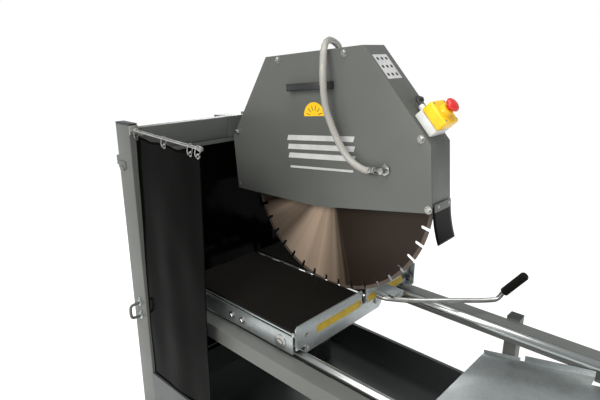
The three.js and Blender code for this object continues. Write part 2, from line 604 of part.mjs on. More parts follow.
function buildSpindle() {
  const [sx, sz] = SPINDLE;
  const face = BLADE_Y + BLADE_THICK / 2;
  const spindle = join(
    barY(17.5, [BLADE_Y - 34, 206], sx, sz, 28),
    barY(62, [face + GAP, face + 14], sx, sz, 40),
  );
  place(head, 'saw_spindle', spindle, steel);
  const flangeDisc = barY(62, [BLADE_Y - 16, BLADE_Y - BLADE_THICK / 2 - GAP], sx, sz, 40);
  const nut = barY(27, [BLADE_Y - 30, BLADE_Y - 15], sx, sz, 6);
  const flange = cut(join(flangeDisc, nut), barY(17.5 + GAP, [BLADE_Y - 31, BLADE_Y], sx, sz, 28));
  place(head, 'blade_flange', flange, steel);
  place(head, 'saw_blade', buildBlade(), steel);
}

// A steel disc with a round-ended gullet between each two segments.
function buildBlade() {
  const depth = 26;
  const half = 4;
  const shape = new THREE.Shape();
  const corner = Math.asin(half / BLADE_R);
  for (let i = 0; i < SEGMENTS; i += 1) {
    const mid = (2 * Math.PI * i) / SEGMENTS;
    const next = mid + (2 * Math.PI) / SEGMENTS;
    const point = (along, across) => [
      along * Math.cos(mid) - across * Math.sin(mid), along * Math.sin(mid) + across * Math.cos(mid)];
    const rim = Math.sqrt(BLADE_R ** 2 - half ** 2);
    const bottom = BLADE_R - depth;
    const gullet = [
      [rim, -half], [bottom + half, -half], [bottom + 1, -half * 0.66], [bottom, 0],
      [bottom + 1, half * 0.66], [bottom + half, half], [rim, half],
    ];
    for (const [along, across] of gullet) {
      const [x, z] = point(along, across);
      if (i === 0 && along === rim && across < 0) shape.moveTo(x, z);
      else shape.lineTo(x, z);
    }
    for (const share of [1 / 3, 2 / 3]) {
      const angle = mid + corner + share * (next - mid - 2 * corner);
      shape.lineTo(BLADE_R * Math.cos(angle), BLADE_R * Math.sin(angle));
    }
  }
  const hole = new THREE.Path();
  hole.absarc(0, 0, 17.5 + 2 * GAP, 0, 2 * Math.PI, true);
  shape.holes.push(hole);
  const y = [BLADE_Y - BLADE_THICK / 2, BLADE_Y + BLADE_THICK / 2];
  return plateY(shape, y).translate(SPINDLE[0], 0, SPINDLE[1]);
}

// ---- water line on the head, and the feed line and cable up the column ----
const HOSE_R = 10;
const HOSE_ROUTE = [
  [636, -31, -35], [624, -31, -35.5], [608, -32, -36], [588, -34, -29], [556, -36, -8], [532, -40, 25],
  [514, -45, 66], [502, -50, 104], [495, -54, 134], [492, -56, 168], [492, -57, 202], [492, -55, 236],
  [490, -49, 266], [485, -39, 291], [478, -24, 310], [469, -6, 321], [459, 16, 325], [449, 40, 325],
  [440, 64, 322], [433, 88, 314], [428, 106, 299], [425.5, 116, 279], [425, 121, 258], [425, 123, 238],
  [425, 123, 218], [425, 123, 204], [425, 123, 190],
];

function buildWaterLine() {
  const fitting = join(
    barY(9, [-41, GUARD_Y[0] - GAP], 660, -34, 20),
    barX(7, [637, 661], -31, -35, 16),
    barY(17, [GUARD_Y[0] - 6, GUARD_Y[0] - GAP], 660, -34, 6),
  );
  place(head, 'hose_fitting', fitting, zinc);
  place(head, 'water_hose', rodAlong(HOSE_ROUTE, HOSE_R, 10, 48), hosePlastic);
  const [valveX, valveZ] = [425, 160];
  const valve = join(
    barZ(11, [140, 189], valveX, 123, 20),
    barY(13, [GUARD_Y[1] + GAP, 134], valveX, valveZ, 20),
  );
  place(head, 'water_valve', valve, zinc);
  const lever = block([valveX - 6, valveX + 6], [134 + GAP, 139], [valveZ - 6, valveZ + 36]);
  place(head, 'valve_lever', lever, red);
}

buildFrame();
buildColumn();
buildGuideTubes();
buildWaterSide();
buildCurtains();
buildPostHandle();
buildTable();
buildPushHandle();
buildGuard();
buildEmergencyStop();
buildArm();
buildDrive();
buildSpindle();
buildWaterLine();

export default saw;
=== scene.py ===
"""Looks of a masonry saw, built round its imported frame. Metres, +Z up, +X towards the operator."""

import math
from itertools import product

import bmesh
import bpy
from mathutils import Matrix, Vector, noise


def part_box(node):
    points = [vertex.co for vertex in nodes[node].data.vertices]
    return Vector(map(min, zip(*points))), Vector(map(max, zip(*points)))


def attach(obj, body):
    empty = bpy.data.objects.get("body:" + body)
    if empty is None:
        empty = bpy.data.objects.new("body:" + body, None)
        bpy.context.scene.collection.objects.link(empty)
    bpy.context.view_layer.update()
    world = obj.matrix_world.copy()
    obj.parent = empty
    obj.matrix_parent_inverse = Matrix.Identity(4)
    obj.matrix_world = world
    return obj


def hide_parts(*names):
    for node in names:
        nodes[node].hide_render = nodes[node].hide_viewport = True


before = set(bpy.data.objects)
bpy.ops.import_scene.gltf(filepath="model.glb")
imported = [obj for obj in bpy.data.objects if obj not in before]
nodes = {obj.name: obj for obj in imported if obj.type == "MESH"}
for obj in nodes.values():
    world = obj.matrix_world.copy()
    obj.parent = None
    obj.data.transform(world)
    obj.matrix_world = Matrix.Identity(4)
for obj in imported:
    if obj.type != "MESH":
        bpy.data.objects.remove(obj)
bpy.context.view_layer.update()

# ---- places that the frame gives ----
PIVOT = Vector((-0.630, 0.0, 1.190))
HEAD = Matrix.Translation(PIVOT) @ Matrix.Rotation(math.radians(-5.5), 4, "Y")  # level head to the row frame
GUARD_OUTLINE = [(0.026, -0.141), (0.026, 0.045), (0.223, 0.298), (0.601, 0.298), (0.798, 0.038),
                 (0.798, -0.141), (0.401, -0.168)]
GUARD_NEAR = -0.014            # outer face of the guard's near cover
GUARD_FAR = 0.086
SPINDLE = (0.430, -0.096)
MOTOR = (0.235, 0.110)
FENCE_FACE = -0.058
DETAIL = 0.0003                # how far a label or seam stands off its surface
# where the disc's painted sheen lobes lie, from +X towards +Z: read off the photo, then moved
SHEEN_TURN = math.radians(240)


# ---- camera ----
def make_camera():
    data = bpy.data.cameras.new("camera")
    camera = bpy.data.objects.new("camera", data)
    bpy.context.scene.collection.objects.link(camera)
    data.lens = 30.21
    data.sensor_width = 36
    yaw, pitch = math.radians(133.068), math.radians(16.968)
    forward = Vector((math.cos(yaw) * math.cos(pitch), math.sin(yaw) * math.cos(pitch), -math.sin(pitch)))
    camera.location = (0.7702, -1.1459, 1.540)
    camera.rotation_euler = forward.to_track_quat("-Z", "Y").to_euler()
    bpy.context.scene.camera = camera


make_camera()


# ---- node materials ----
class Shader:
    """A Principled material and the few node chains that the finishes share."""

    def __init__(self, name, color, roughness, metallic=0.0, **sockets):
        self.material = bpy.data.materials.new(name)
        self.material.use_nodes = True
        self.tree = self.material.node_tree
        self.bsdf = self.tree.nodes["Principled BSDF"]
        self.bsdf.inputs["Base Color"].default_value = (*color, 1)
        self.bsdf.inputs["Roughness"].default_value = roughness
        self.bsdf.inputs["Metallic"].default_value = metallic
        for socket, value in sockets.items():
            self.bsdf.inputs[socket.replace("_", " ")].default_value = value
        self.place = self.node("ShaderNodeTexCoord").outputs["Object"]

    def node(self, kind, **settings):
        made = self.tree.nodes.new(kind)
        for key, value in settings.items():
            setattr(made, key, value)
        return made

    def link(self, output, target):
        self.tree.links.new(output, target)

    def scaled(self, scale):
        mapping = self.node("ShaderNodeMapping")
        mapping.inputs["Scale"].default_value = scale
        self.link(self.place, mapping.inputs["Vector"])
        return mapping.outputs["Vector"]

    def noise(self, scale, detail=3.0, stretch=(1, 1, 1), place=None):
        made = self.node("ShaderNodeTexNoise")
        made.inputs["Scale"].default_value = scale
        made.inputs["Detail"].default_value = detail
        self.link(self.scaled(stretch) if place is None else place, made.inputs["Vector"])
        return made.outputs["Fac"]

    def combine(self, operation, first, second=None):
        """A math node on one or two outputs; second may be a number."""
        made = self.node("ShaderNodeMath", operation=operation)
        self.link(first, made.inputs[0])
        if isinstance(second, float):
            made.inputs[1].default_value = second
        elif second is not None:
            self.link(second, made.inputs[1])
        return made.outputs["Value"]

    def spangle(self, scale):
        made = self.node("ShaderNodeTexVoronoi", feature="F1")
        made.inputs["Scale"].default_value = scale
        self.link(self.place, made.inputs["Vector"])
        separate = self.node("ShaderNodeSeparateColor")
        self.link(made.outputs["Color"], separate.inputs["Color"])
        return separate.outputs["Red"]

    def ramp(self, value, low, high, start=0.35, end=0.65):
        made = self.node("ShaderNodeValToRGB")
        made.color_ramp.elements[0].position = start
        made.color_ramp.elements[1].position = end
        made.color_ramp.elements[0].color = (*low, 1)
        made.color_ramp.elements[1].color = (*high, 1)
        self.link(value, made.inputs["Fac"])
        return made.outputs["Color"]

    def vary_color(self, value, low, high, start=0.35, end=0.65):
        self.link(self.ramp(value, low, high, start, end), self.bsdf.inputs["Base Color"])

    def vary_roughness(self, value, low, high):
        made = self.node("ShaderNodeMapRange")
        made.inputs["To Min"].default_value = low
        made.inputs["To Max"].default_value = high
        self.link(value, made.inputs["Value"])
        self.link(made.outputs["Result"], self.bsdf.inputs["Roughness"])

    def bump(self, value, depth, strength=0.5):
        made = self.node("ShaderNodeBump")
        made.inputs["Strength"].default_value = strength
        made.inputs["Distance"].default_value = depth
        self.link(value, made.inputs["Height"])
        self.link(made.outputs["Normal"], self.bsdf.inputs["Normal"])


def shade(color, factor):
    return tuple(min(1.0, c * factor) for c in color)


def powder_coat(name, color):
    made = Shader(name, color, 0.42, 0.0, Specular_IOR_Level=0.5)
    made.vary_color(made.noise(3.2, 5), shade(color, 0.93), shade(color, 1.07))
    made.vary_roughness(made.noise(14, 4), 0.36, 0.52)
    made.bump(made.noise(900, 2), 0.00025, 0.35)
    return made.material


def galvanised(name, color):
    made = Shader(name, color, 0.36, 0.85)
    made.vary_color(made.spangle(140), shade(color, 0.94), shade(color, 1.05), 0.1, 0.9)
    made.vary_roughness(made.noise(30, 5), 0.27, 0.46)
    made.bump(made.noise(260, 3), 0.0002, 0.2)
    return made.material


def bright_tube(name, color):
    made = Shader(name, color, 0.3, 1.0)
    made.vary_roughness(made.noise(9, 3, (0.2, 1, 1)), 0.26, 0.36)
    made.vary_color(made.noise(6, 3, (0.3, 1, 1)), shade(color, 0.85), color)
    return made.material


def turned_steel(name, color):
    made = Shader(name, color, 0.3, 1.0)
    made.vary_color(made.noise(40, 4), shade(color, 0.85), shade(color, 1.1))
    made.vary_roughness(made.noise(300, 3, (1, 0.05, 1)), 0.22, 0.42)
    return made.material


def blade_steel(name, dark, bright):
    """Ground in rings about its own Y axis, with two opposite lobes of painted sheen in the base colour,
    broken up into sectors.
    """
    made = Shader(name, bright, 0.3, 0.3, Anisotropic=0.5, Specular_IOR_Level=0.2)
    tangent = made.node("ShaderNodeTangent", direction_type="RADIAL", axis="Y")
    made.link(tangent.outputs["Tangent"], made.bsdf.inputs["Tangent"])
    flat = made.scaled((1, 0, 1))
    length = made.node("ShaderNodeVectorMath", operation="LENGTH")
    made.link(flat, length.inputs[0])
    rings = made.node("ShaderNodeTexNoise", noise_dimensions="1D")
    rings.inputs["Scale"].default_value = 900
    rings.inputs["Detail"].default_value = 4
    made.link(length.outputs["Value"], rings.inputs["W"])
    made.bump(rings.outputs["Fac"], 0.00005, 0.25)
    # painted sheen: the base colour runs from dark to bright in two opposite lobes about the axis, a painted
    # reflection
    parts = made.node("ShaderNodeSeparateXYZ")
    made.link(flat, parts.inputs["Vector"])
    angle = made.combine("ARCTAN2", parts.outputs["Z"], parts.outputs["X"])
    lobe = made.combine("COSINE", made.combine("SUBTRACT", angle, SHEEN_TURN))
    bow_tie = made.combine("MULTIPLY", lobe, lobe)
    spoke = made.node("ShaderNodeVectorMath", operation="NORMALIZE")
    made.link(flat, spoke.inputs[0])
    sectors = made.noise(3.4, 4, place=spoke.outputs["Vector"])
    painted_sheen = made.combine("MULTIPLY", bow_tie, sectors)
    made.vary_color(painted_sheen, dark, bright, 0.22, 0.56)
    made.vary_roughness(made.noise(9, 5), 0.26, 0.42)
    return made.material


def moulded(name, color, roughness=0.4, grain=0.00008, **sockets):
    made = Shader(name, color, roughness, 0.0, **sockets)
    made.vary_color(made.noise(25, 4), shade(color, 0.9), shade(color, 1.08))
    made.vary_roughness(made.noise(60, 3), roughness - 0.06, roughness + 0.08)
    made.bump(made.noise(1400, 2), grain, 0.4)
    return made.material


def film(name, color):
    made = Shader(name, color, 0.16, 0.0, Specular_IOR_Level=0.1, IOR=1.2)
    made.vary_color(made.noise(6, 4), color, shade(color, 1.6))
    made.vary_roughness(made.noise(11, 4), 0.09, 0.22)
    made.bump(made.noise(16, 3, (1, 1, 0.35)), 0.003, 0.2)
    return made.material


def milky(name, color):
    made = Shader(name, color, 0.28, 0.0, Transmission_Weight=0.25, IOR=1.42, Subsurface_Weight=0.15)
    made.vary_color(made.noise(5, 2), shade(color, 0.9), color)
    made.vary_roughness(made.noise(12, 3), 0.2, 0.34)
    return made.material


PAINT = powder_coat("anthracite_powder_coat", (0.100, 0.105, 0.096))
# painted shade: the basin's coat is the frame's anthracite made darker, standing in for the shade inside the
# basin
SHADED_BASIN_PAINT = powder_coat("basin_powder_coat_painted_shade", (0.036, 0.040, 0.039))
ZINC = galvanised("galvanised_sheet", (0.40, 0.43, 0.43))
CHROME = bright_tube("chromed_tube", (0.50, 0.51, 0.50))
STEEL = turned_steel("turned_steel", (0.45, 0.44, 0.42))
BOLT = turned_steel("zinc_plated_bolt", (0.42, 0.42, 0.40))
BLADE = blade_steel("ground_disc_steel_painted_sheen", (0.030, 0.021, 0.015), (0.62, 0.47, 0.35))
SEGMENT = moulded("diamond_segment", (0.10, 0.075, 0.058), 0.6, 0.0002)
BLACK = moulded("black_plastic", (0.018, 0.018, 0.019), 0.42)
RUBBER = moulded("black_rubber", (0.0055, 0.0050, 0.0038), 0.72, 0.0002, Specular_IOR_Level=0.12)
FILM = film("black_film", (0.0010, 0.0009, 0.0008))
FLAP = moulded("glossy_rubber", (0.003, 0.003, 0.003), 0.25, 0.00006, Specular_IOR_Level=0.15, IOR=1.3)
YELLOW = moulded("yellow_plastic", (0.98, 0.56, 0.006), 0.36)
STRIP_YELLOW = moulded("yellow_ruler_film", (0.52, 0.35, 0.008), 0.5)
RED = moulded("red_plastic", (0.70, 0.02, 0.015), 0.28, Coat_Weight=0.3)
GREY = moulded("grey_plastic", (0.62, 0.62, 0.60), 0.42)
WHITE = moulded("white_print", (0.52, 0.52, 0.51), 0.5)
MARK = moulded("dark_print", (0.03, 0.03, 0.035), 0.5)
MOTOR_BLUE = powder_coat("motor_enamel", (0.045, 0.095, 0.16))
MILKY = milky("milky_hose", (0.46, 0.45, 0.41))
GREEN = moulded("green_plastic", (0.02, 0.30, 0.06), 0.35)


# ---- mesh helpers ----
def polar(radius, angle):
    return radius * math.cos(angle), radius * math.sin(angle)


def disc(radius, height):
    """The profile of a plain disc for add_lathe."""
    return [(0, 0), (radius, 0), (radius, height), (0, height)]


def link_object(name, data, material, body):
    made = bpy.data.objects.new(name, data)
    bpy.context.scene.collection.objects.link(made)
    data.materials.append(material)
    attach(made, body)
    return made


def finish_mesh(name, bm, material, body, smooth=38, matrix=None):
    """A bmesh becomes a piece on a body; matrix takes it from its own frame to the row frame."""
    if matrix is not None:
        bm.transform(matrix)
    bmesh.ops.recalc_face_normals(bm, faces=bm.faces)
    mesh = bpy.data.meshes.new(name)
    bm.to_mesh(mesh)
    bm.free()
    mesh.shade_smooth()
    mesh.set_sharp_from_angle(angle=math.radians(smooth))
    return link_object(name, mesh, material, body)


def add_box(bm, low, high, radius=0.0, segments=3):
    """A box, with its edges rounded where a radius is given."""
    size = Vector(high) - Vector(low)
    centre = (Vector(high) + Vector(low)) / 2
    made = bmesh.ops.create_cube(bm, size=1)
    verts = made["verts"]
    for vert in verts:
        vert.co = Vector([a * b for a, b in zip(vert.co, size)]) + centre
    if radius:
        edges = list({edge for vert in verts for edge in vert.link_edges})
        bmesh.ops.bevel(bm, geom=edges, offset=radius, segments=segments, profile=0.5, affect="EDGES")


def add_lathe(bm, profile, matrix, sides=32):
    """A closed body turned about its own Z axis: profile points are (radius, z), from axis to axis."""
    rings = []
    for radius, z in profile:
        if radius < 1e-6:
            rings.append([bm.verts.new(matrix @ Vector((0, 0, z)))])
            continue
        turns = [2 * math.pi * i / sides for i in range(sides)]
        rings.append([bm.verts.new(matrix @ Vector((*polar(radius, t), z))) for t in turns])
    for low, high in zip(rings, rings[1:]):
        for i in range(sides):
            j = (i + 1) % sides
            corners = [low[i % len(low)], low[j % len(low)], high[j % len(high)], high[i % len(high)]]
            face = list(dict.fromkeys(corners))
            if len(face) > 2:
                bm.faces.new(face)
    return rings


def add_ring(bm, profile, matrix, sides=32):
    """A ring turned about its own Z axis: the profile closes on itself."""
    rings = add_lathe(bm, profile, matrix, sides)
    for i in range(sides):
        j = (i + 1) % sides
        bm.faces.new([rings[-1][i], rings[-1][j], rings[0][j], rings[0][i]])


def add_prism(bm, outline, low, high, matrix):
    """An outline in the piece's own XY plane, raised from low to high along its Z."""
    bottom = [bm.verts.new(matrix @ Vector((x, y, low))) for x, y in outline]
    top = [bm.verts.new(matrix @ Vector((x, y, high))) for x, y in outline]
    bm.faces.new(bottom[::-1])
    bm.faces.new(top)
    for i in range(len(outline)):
        j = (i + 1) % len(outline)
        bm.faces.new([bottom[i], bottom[j], top[j], top[i]])


def facing(at, out, turn=0.0):
    """A frame at a point, whose Z axis looks along out."""
    rotation = Vector(out).to_track_quat("Z", "Y").to_matrix().to_4x4()
    return Matrix.Translation(Vector(at)) @ rotation @ Matrix.Rotation(turn, 4, "Z")


def add_bolt(bm, matrix, size, height=None, washer=True, turn=0.3):
    """A hexagon bolt head with a chamfered crown on a washer; size is half its width over corners."""
    tall = height or size * 0.75
    base = 0.0
    if washer:
        base = 0.0012
        add_lathe(bm, disc(size * 1.45, base), matrix, 28)
    spin = matrix @ Matrix.Rotation(turn, 4, "Z")
    shoulder, crown = base + tall * 0.82, base + tall
    corners = [(0, base), (size, base), (size, shoulder), (size * 0.84, crown), (0, crown)]
    add_lathe(bm, corners, spin, 6)


def smooth_path(points, steps=8):
    """A centripetal curve through the points."""
    points = [Vector(p) for p in points]
    padded = [points[0] * 2 - points[1], *points, points[-1] * 2 - points[-2]]
    made = [points[0]]
    for a, b, c, d in zip(padded, padded[1:], padded[2:], padded[3:]):
        t = [0.0]
        for p, q in ((a, b), (b, c), (c, d)):
            t.append(t[-1] + max((q - p).length, 1e-9) ** 0.5)
        for i in range(1, steps + 1):
            u = t[1] + (t[2] - t[1]) * i / steps
            ab = a.lerp(b, (u - t[0]) / (t[1] - t[0]))
            bc = b.lerp(c, (u - t[1]) / (t[2] - t[1]))
            cd = c.lerp(d, (u - t[2]) / (t[3] - t[2]))
            abc = ab.lerp(bc, (u - t[0]) / (t[2] - t[0]))
            bcd = bc.lerp(cd, (u - t[1]) / (t[3] - t[1]))
            made.append(abc.lerp(bcd, (u - t[1]) / (t[2] - t[1])))
    return made


def add_rod(name, path, radius, material, body, closed=False):
    """A round rod along a path, as a curve with one spline."""
    data = bpy.data.curves.new(name, "CURVE")
    data.dimensions = "3D"
    spline = data.splines.new("POLY")
    spline.points.add(len(path) - 1)
    for point, place in zip(spline.points, path):
        point.co = (*place, 1)
    spline.use_cyclic_u = closed
    spline.use_smooth = True
    data.bevel_depth = radius
    data.bevel_resolution = 6
    data.use_fill_caps = True
    return link_object(name, data, material, body)


# ---- the water hose, which comes first ----
HOSE_ROUTE = [
    (0.636, -0.031, -0.035), (0.624, -0.031, -0.0355), (0.608, -0.032, -0.036), (0.588, -0.034, -0.029),
    (0.556, -0.036, -0.008), (0.532, -0.040, 0.025), (0.514, -0.045, 0.066), (0.502, -0.050, 0.104),
    (0.495, -0.054, 0.134), (0.492, -0.056, 0.168), (0.492, -0.057, 0.202), (0.492, -0.055, 0.236),
    (0.490, -0.049, 0.266), (0.485, -0.039, 0.291), (0.478, -0.024, 0.310), (0.469, -0.006, 0.321),
    (0.459, 0.016, 0.325), (0.449, 0.040, 0.325), (0.440, 0.064, 0.322), (0.433, 0.088, 0.314),
    (0.428, 0.106, 0.299), (0.4255, 0.116, 0.279), (0.425, 0.121, 0.258), (0.425, 0.123, 0.238),
    (0.425, 0.123, 0.218), (0.425, 0.123, 0.204), (0.425, 0.123, 0.190),
]
HOSE_RADIUS = 0.010


def make_hose():
    path = [HEAD @ p for p in smooth_path(HOSE_ROUTE, 6)]
    hose = add_rod("water_hose_line", path, HOSE_RADIUS, MILKY, "cutting_head")
    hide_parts("water_hose")
    bm = bmesh.new()
    band = [(0.0102, -0.006), (0.0116, -0.006), (0.0116, 0.006), (0.0102, 0.006)]
    for near, far in ((path[3], path[5]), (path[-4], path[-6])):
        place = facing((near + far) / 2, far - near)
        add_ring(bm, band, place, 32)
        add_box_at(bm, place, (0.0105, -0.004, -0.005), (0.0165, 0.004, 0.005), 0.001)
    finish_mesh("hose_clamps", bm, BOLT, "cutting_head")


def add_box_at(bm, matrix, low, high, radius=0.0):
    """A box in a frame of its own."""
    own = bmesh.new()
    add_box(own, low, high, radius)
    own.transform(matrix)
    merge_in(bm, own)


def merge_in(bm, other):
    """Moves one bmesh's faces into another."""
    mesh = bpy.data.meshes.new("part")
    other.to_mesh(mesh)
    other.free()
    bm.from_mesh(mesh)
    bpy.data.meshes.remove(mesh)


make_hose()


# ---- finishes of the CAD nodes that stay ----
def dress(names, material, bevel=0.0, smooth=35):
    """Gives nodes a finish, clean flat faces and softly rounded edges."""
    for name in names:
        piece = nodes[name]
        piece.data.materials.clear()
        piece.data.materials.append(material)
        piece.data.shade_smooth()
        piece.data.set_sharp_from_angle(angle=math.radians(smooth))
        weld = piece.modifiers.new("weld", "WELD")
        weld.merge_threshold = 1e-5
        if bevel:
            flat = piece.modifiers.new("flat", "DECIMATE")
            flat.decimate_type = "DISSOLVE"
            flat.angle_limit = math.radians(0.6)
            rounded = piece.modifiers.new("rounded", "BEVEL")
            rounded.width = bevel
            rounded.segments = 3
            rounded.limit_method = "ANGLE"
            rounded.angle_limit = math.radians(40)
            rounded.harden_normals = True


def dress_nodes():
    sides = ["left", "right"]
    dress([f"{s}_side_beam" for s in sides], PAINT, 0.005)
    dress([f"rear_{s}_post" for s in sides], PAINT, 0.0025)
    dress([f"front_{s}_leg" for s in sides], PAINT, 0.0025)
    dress(["rear_cross_beam", "front_cross_beam", "rear_top_beam_left", "rear_top_beam_right"], PAINT, 0.003)
    dress(["head_column", "head_arm"], PAINT, 0.0015)
    dress(["water_basin"], SHADED_BASIN_PAINT, 0.001)
    dress(["guard_body"], PAINT, 0.0022)
    dress(["guard_side_cover"], PAINT, 0.0009)
    dress(["belt_cover"], PAINT, 0.0015)
    dress(["drip_tray", "fence"], ZINC, 0.0006)
    dress(["table_side_left", "table_side_right", "table_deck"], ZINC, 0.0006)
    dress(["left_guide_tube", "right_guide_tube"], CHROME)
    dress(["curtain_rod"], BOLT, 0.0004)
    dress(["pivot_shaft", "hose_fitting", "water_valve"], BOLT, 0.0006)
    dress(["spindle_housing", "spindle_bearing_inner", "spindle_bearing_outer"], STEEL)
    dress(["saw_spindle", "blade_flange"], STEEL)
    dress(["motor_pulley", "spindle_pulley"], STEEL)
    dress(["drive_belt"], RUBBER)
    dress(["head_lock_lever", "basin_drain_plug"], BLACK, 0.0008)
    dress([f"roller_{place}_{s}" for place in ("front", "rear") for s in sides], BLACK)
    dress(["valve_lever"], RED, 0.001)
    for side in sides:
        tube = nodes[f"{side}_guide_tube"].data
        tube.materials.append(PAINT)
        for face in tube.polygons:
            face.material_index = 1 if face.center.z < 0.7015 else 0


dress_nodes()


# ---- frame details ----
def make_caps():
    bm = bmesh.new()
    for name in ("rear_left_post", "rear_right_post"):
        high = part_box(name)[1]
        y, z = 0.352 if high.y > 0 else -0.382, high.z
        add_box(bm, (-0.7425, y - 0.0005, z), (-0.6615, y + 0.0305, z + 0.005), 0.002)
        add_box(bm, (-0.7386, y + 0.0034, z - 0.015), (-0.6654, y + 0.0266, z + 0.001))
    leg = 0.040
    for side in (-1, 1):
        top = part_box("front_right_leg")[1].z
        near, far = sorted((side * 0.3303, side * (0.3303 + leg)))
        add_box(bm, (0.2825, near - 0.0002, top), (0.2835 + leg, far + 0.0002, top + 0.004), 0.0016)
    for side in (-1, 1):
        middle = side * 0.305
        add_box(bm, (0.770, middle - 0.0215, 0.6735), (0.7778, middle + 0.0215, 0.7165), 0.0012)
    finish_mesh("tube_caps", bm, BLACK, "frame")


def make_post_fittings():
    """The latch plate and the lifting handle of the left post."""
    bm = bmesh.new()
    outer = -0.382
    add_box(bm, (-0.762, outer + 0.002, 1.172), (-0.7421, outer + 0.012, 1.204), 0.002)
    add_box(bm, (-0.7425, outer - 0.003, 1.166), (-0.700, outer - 0.0001, 1.190), 0.0012)
    add_box(bm, (-0.731, outer - 0.006, 1.160), (-0.708, outer - 0.003, 1.174), 0.0012)
    finish_mesh("post_latch", bm, PAINT, "frame")
    x, low, high, root, reach = -0.702, 0.643, 0.693, outer - DETAIL, -0.418
    half_bow = [(root, 0), (root - 0.014, 0), (reach + 0.004, 0.003), (reach, 0.010)]
    route = [(x, y, low + inset) for y, inset in half_bow]
    route += [(x, y, high - inset) for y, inset in reversed(half_bow)]
    bow = add_rod("post_handle_bow", smooth_path(route, 8), 0.005, PAINT, "frame")
    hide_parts("post_lifting_handle")
    bm = bmesh.new()
    for z in (low, high):
        place = facing((x, root, z), (0, -1, 0))
        add_lathe(bm, [(0, 0), (0.012, 0), (0.012, 0.0018), (0.008, 0.004), (0, 0.004)], place, 28)
        add_bolt(bm, facing((x + 0.004, root, z + 0.017), (0, -1, 0)), 0.0055, 0.003, washer=False)
    finish_mesh("post_handle_flanges", bm, ZINC, "frame")


def make_frame_bolts():
    bm = bmesh.new()
    for side in (-1, 1):
        for x, z in ((0.294, 0.684), (0.312, 0.706)):
            add_bolt(bm, facing((x, side * 0.3703, z), (0, side, 0)), 0.0065, 0.005, False)
        for x in (-0.719, -0.685):
            add_bolt(bm, facing((x, side * 0.3519, 0.695), (0, -side, 0)), 0.0065, 0.004, False)
    for z in (1.240, 1.280):
        add_bolt(bm, facing((-0.664, -0.338, z), (1, 0, 0)), 0.0055)
    for y, z in product((0.156, 0.186), (0.80, 0.83)):
        add_bolt(bm, facing((-0.664, y, z), (1, 0, 0)), 0.0065)
    finish_mesh("frame_bolts", bm, BOLT, "frame")


def make_feet():
    bm = bmesh.new()
    for side in (-1, 1):
        for x, y in ((-0.645, 0.332), (-0.761, 0.332), (-0.761, 0.404), (-0.645, 0.404), (0.275, 0.315)):
            add_bolt(bm, facing((x, side * y, 0.006), (0, 0, 1)), 0.0065)
    finish_mesh("foot_bolts", bm, BOLT, "frame")


def make_basin_rim():
    """The folded rim that stiffens the basin's walls."""
    low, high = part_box("water_basin")
    fold, thick = 0.011, 0.003
    bm = bmesh.new()
    z = (high.z - thick, high.z)
    inner = 0.0028
    for side in (-1, 1):
        y = sorted((side * (high.y - inner), side * (high.y - inner - fold)))
        add_box(bm, (low.x + inner, y[0], z[0]), (high.x - inner, y[1], z[1]), 0.0008, 2)
    for x in (low.x + inner, high.x - inner - fold):
        add_box(bm, (x, -high.y + inner + fold, z[0]), (x + fold, high.y - inner - fold, z[1]), 0.0008, 2)
    finish_mesh("basin_rim", bm, SHADED_BASIN_PAINT, "frame")


make_caps()
make_post_fittings()
make_frame_bolts()
make_feet()
make_basin_rim()


# ---- splash curtains ----
CURTAIN_RINGS = [-0.650, -0.500, -0.372, -0.337]
ROD_Y = -0.367
ROD_ROOT, ROD_TIP = (-0.657, 1.294), (-0.320, 1.280)


def rod_height(x):
    """The rod droops a little towards its free end."""
    share = (x - ROD_ROOT[0]) / (ROD_TIP[0] - ROD_ROOT[0])
    return ROD_ROOT[1] + (ROD_TIP[1] - ROD_ROOT[1]) * share


def add_grid(bm, columns, rows, point, turned=False):
    """Quads between points at point(u, v), with u and v from 0 to 1; turned faces them the other way."""
    grid = []
    for j in range(rows + 1):
        grid.append([bm.verts.new(point(i / columns, j / rows)) for i in range(columns + 1)])
    for j, i in product(range(rows), range(columns)):
        quad = [grid[j][i], grid[j][i + 1], grid[j + 1][i + 1], grid[j + 1][i]]
        bm.faces.new(quad[::-1] if turned else quad)


def make_sheet(name, across, low, high, depth, place, node):
    """A hanging film: across is its width, depth(u, v) gives its waves and place(s, d, z) each point."""
    columns, rows = 72, 96

    def point(u, v):
        s = across[0] + (across[1] - across[0]) * u
        return place(s, depth(u, v), low + (high(u) - low) * v)

    bm = bmesh.new()
    add_grid(bm, columns, rows, point)
    area = sum(face.calc_area() for face in bm.faces)
    sheet = finish_mesh(name, bm, FILM, "frame", smooth=180)
    thick = sheet.modifiers.new("thickness", "SOLIDIFY")
    thick.thickness = 0.0008
    tallest = max(high(i / columns) for i in range(columns + 1)) - low
    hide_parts(node)
    return sheet


def waves(u, v, seed, folds, amount):
    """Soft vertical folds that fade towards the held top edge, with small dents."""
    fold = math.sin(2 * math.pi * folds * u + 0.9 * math.sin(2.3 * v + seed))
    fold += 0.45 * math.sin(2 * math.pi * folds * 1.9 * u + 1.7 * v + 2 * seed)
    dent = noise.noise(Vector((3.1 * u + seed, 5.3 * v, seed)))
    return amount * (fold * (0.35 + 0.65 * (1 - v)) + 1.4 * dent)


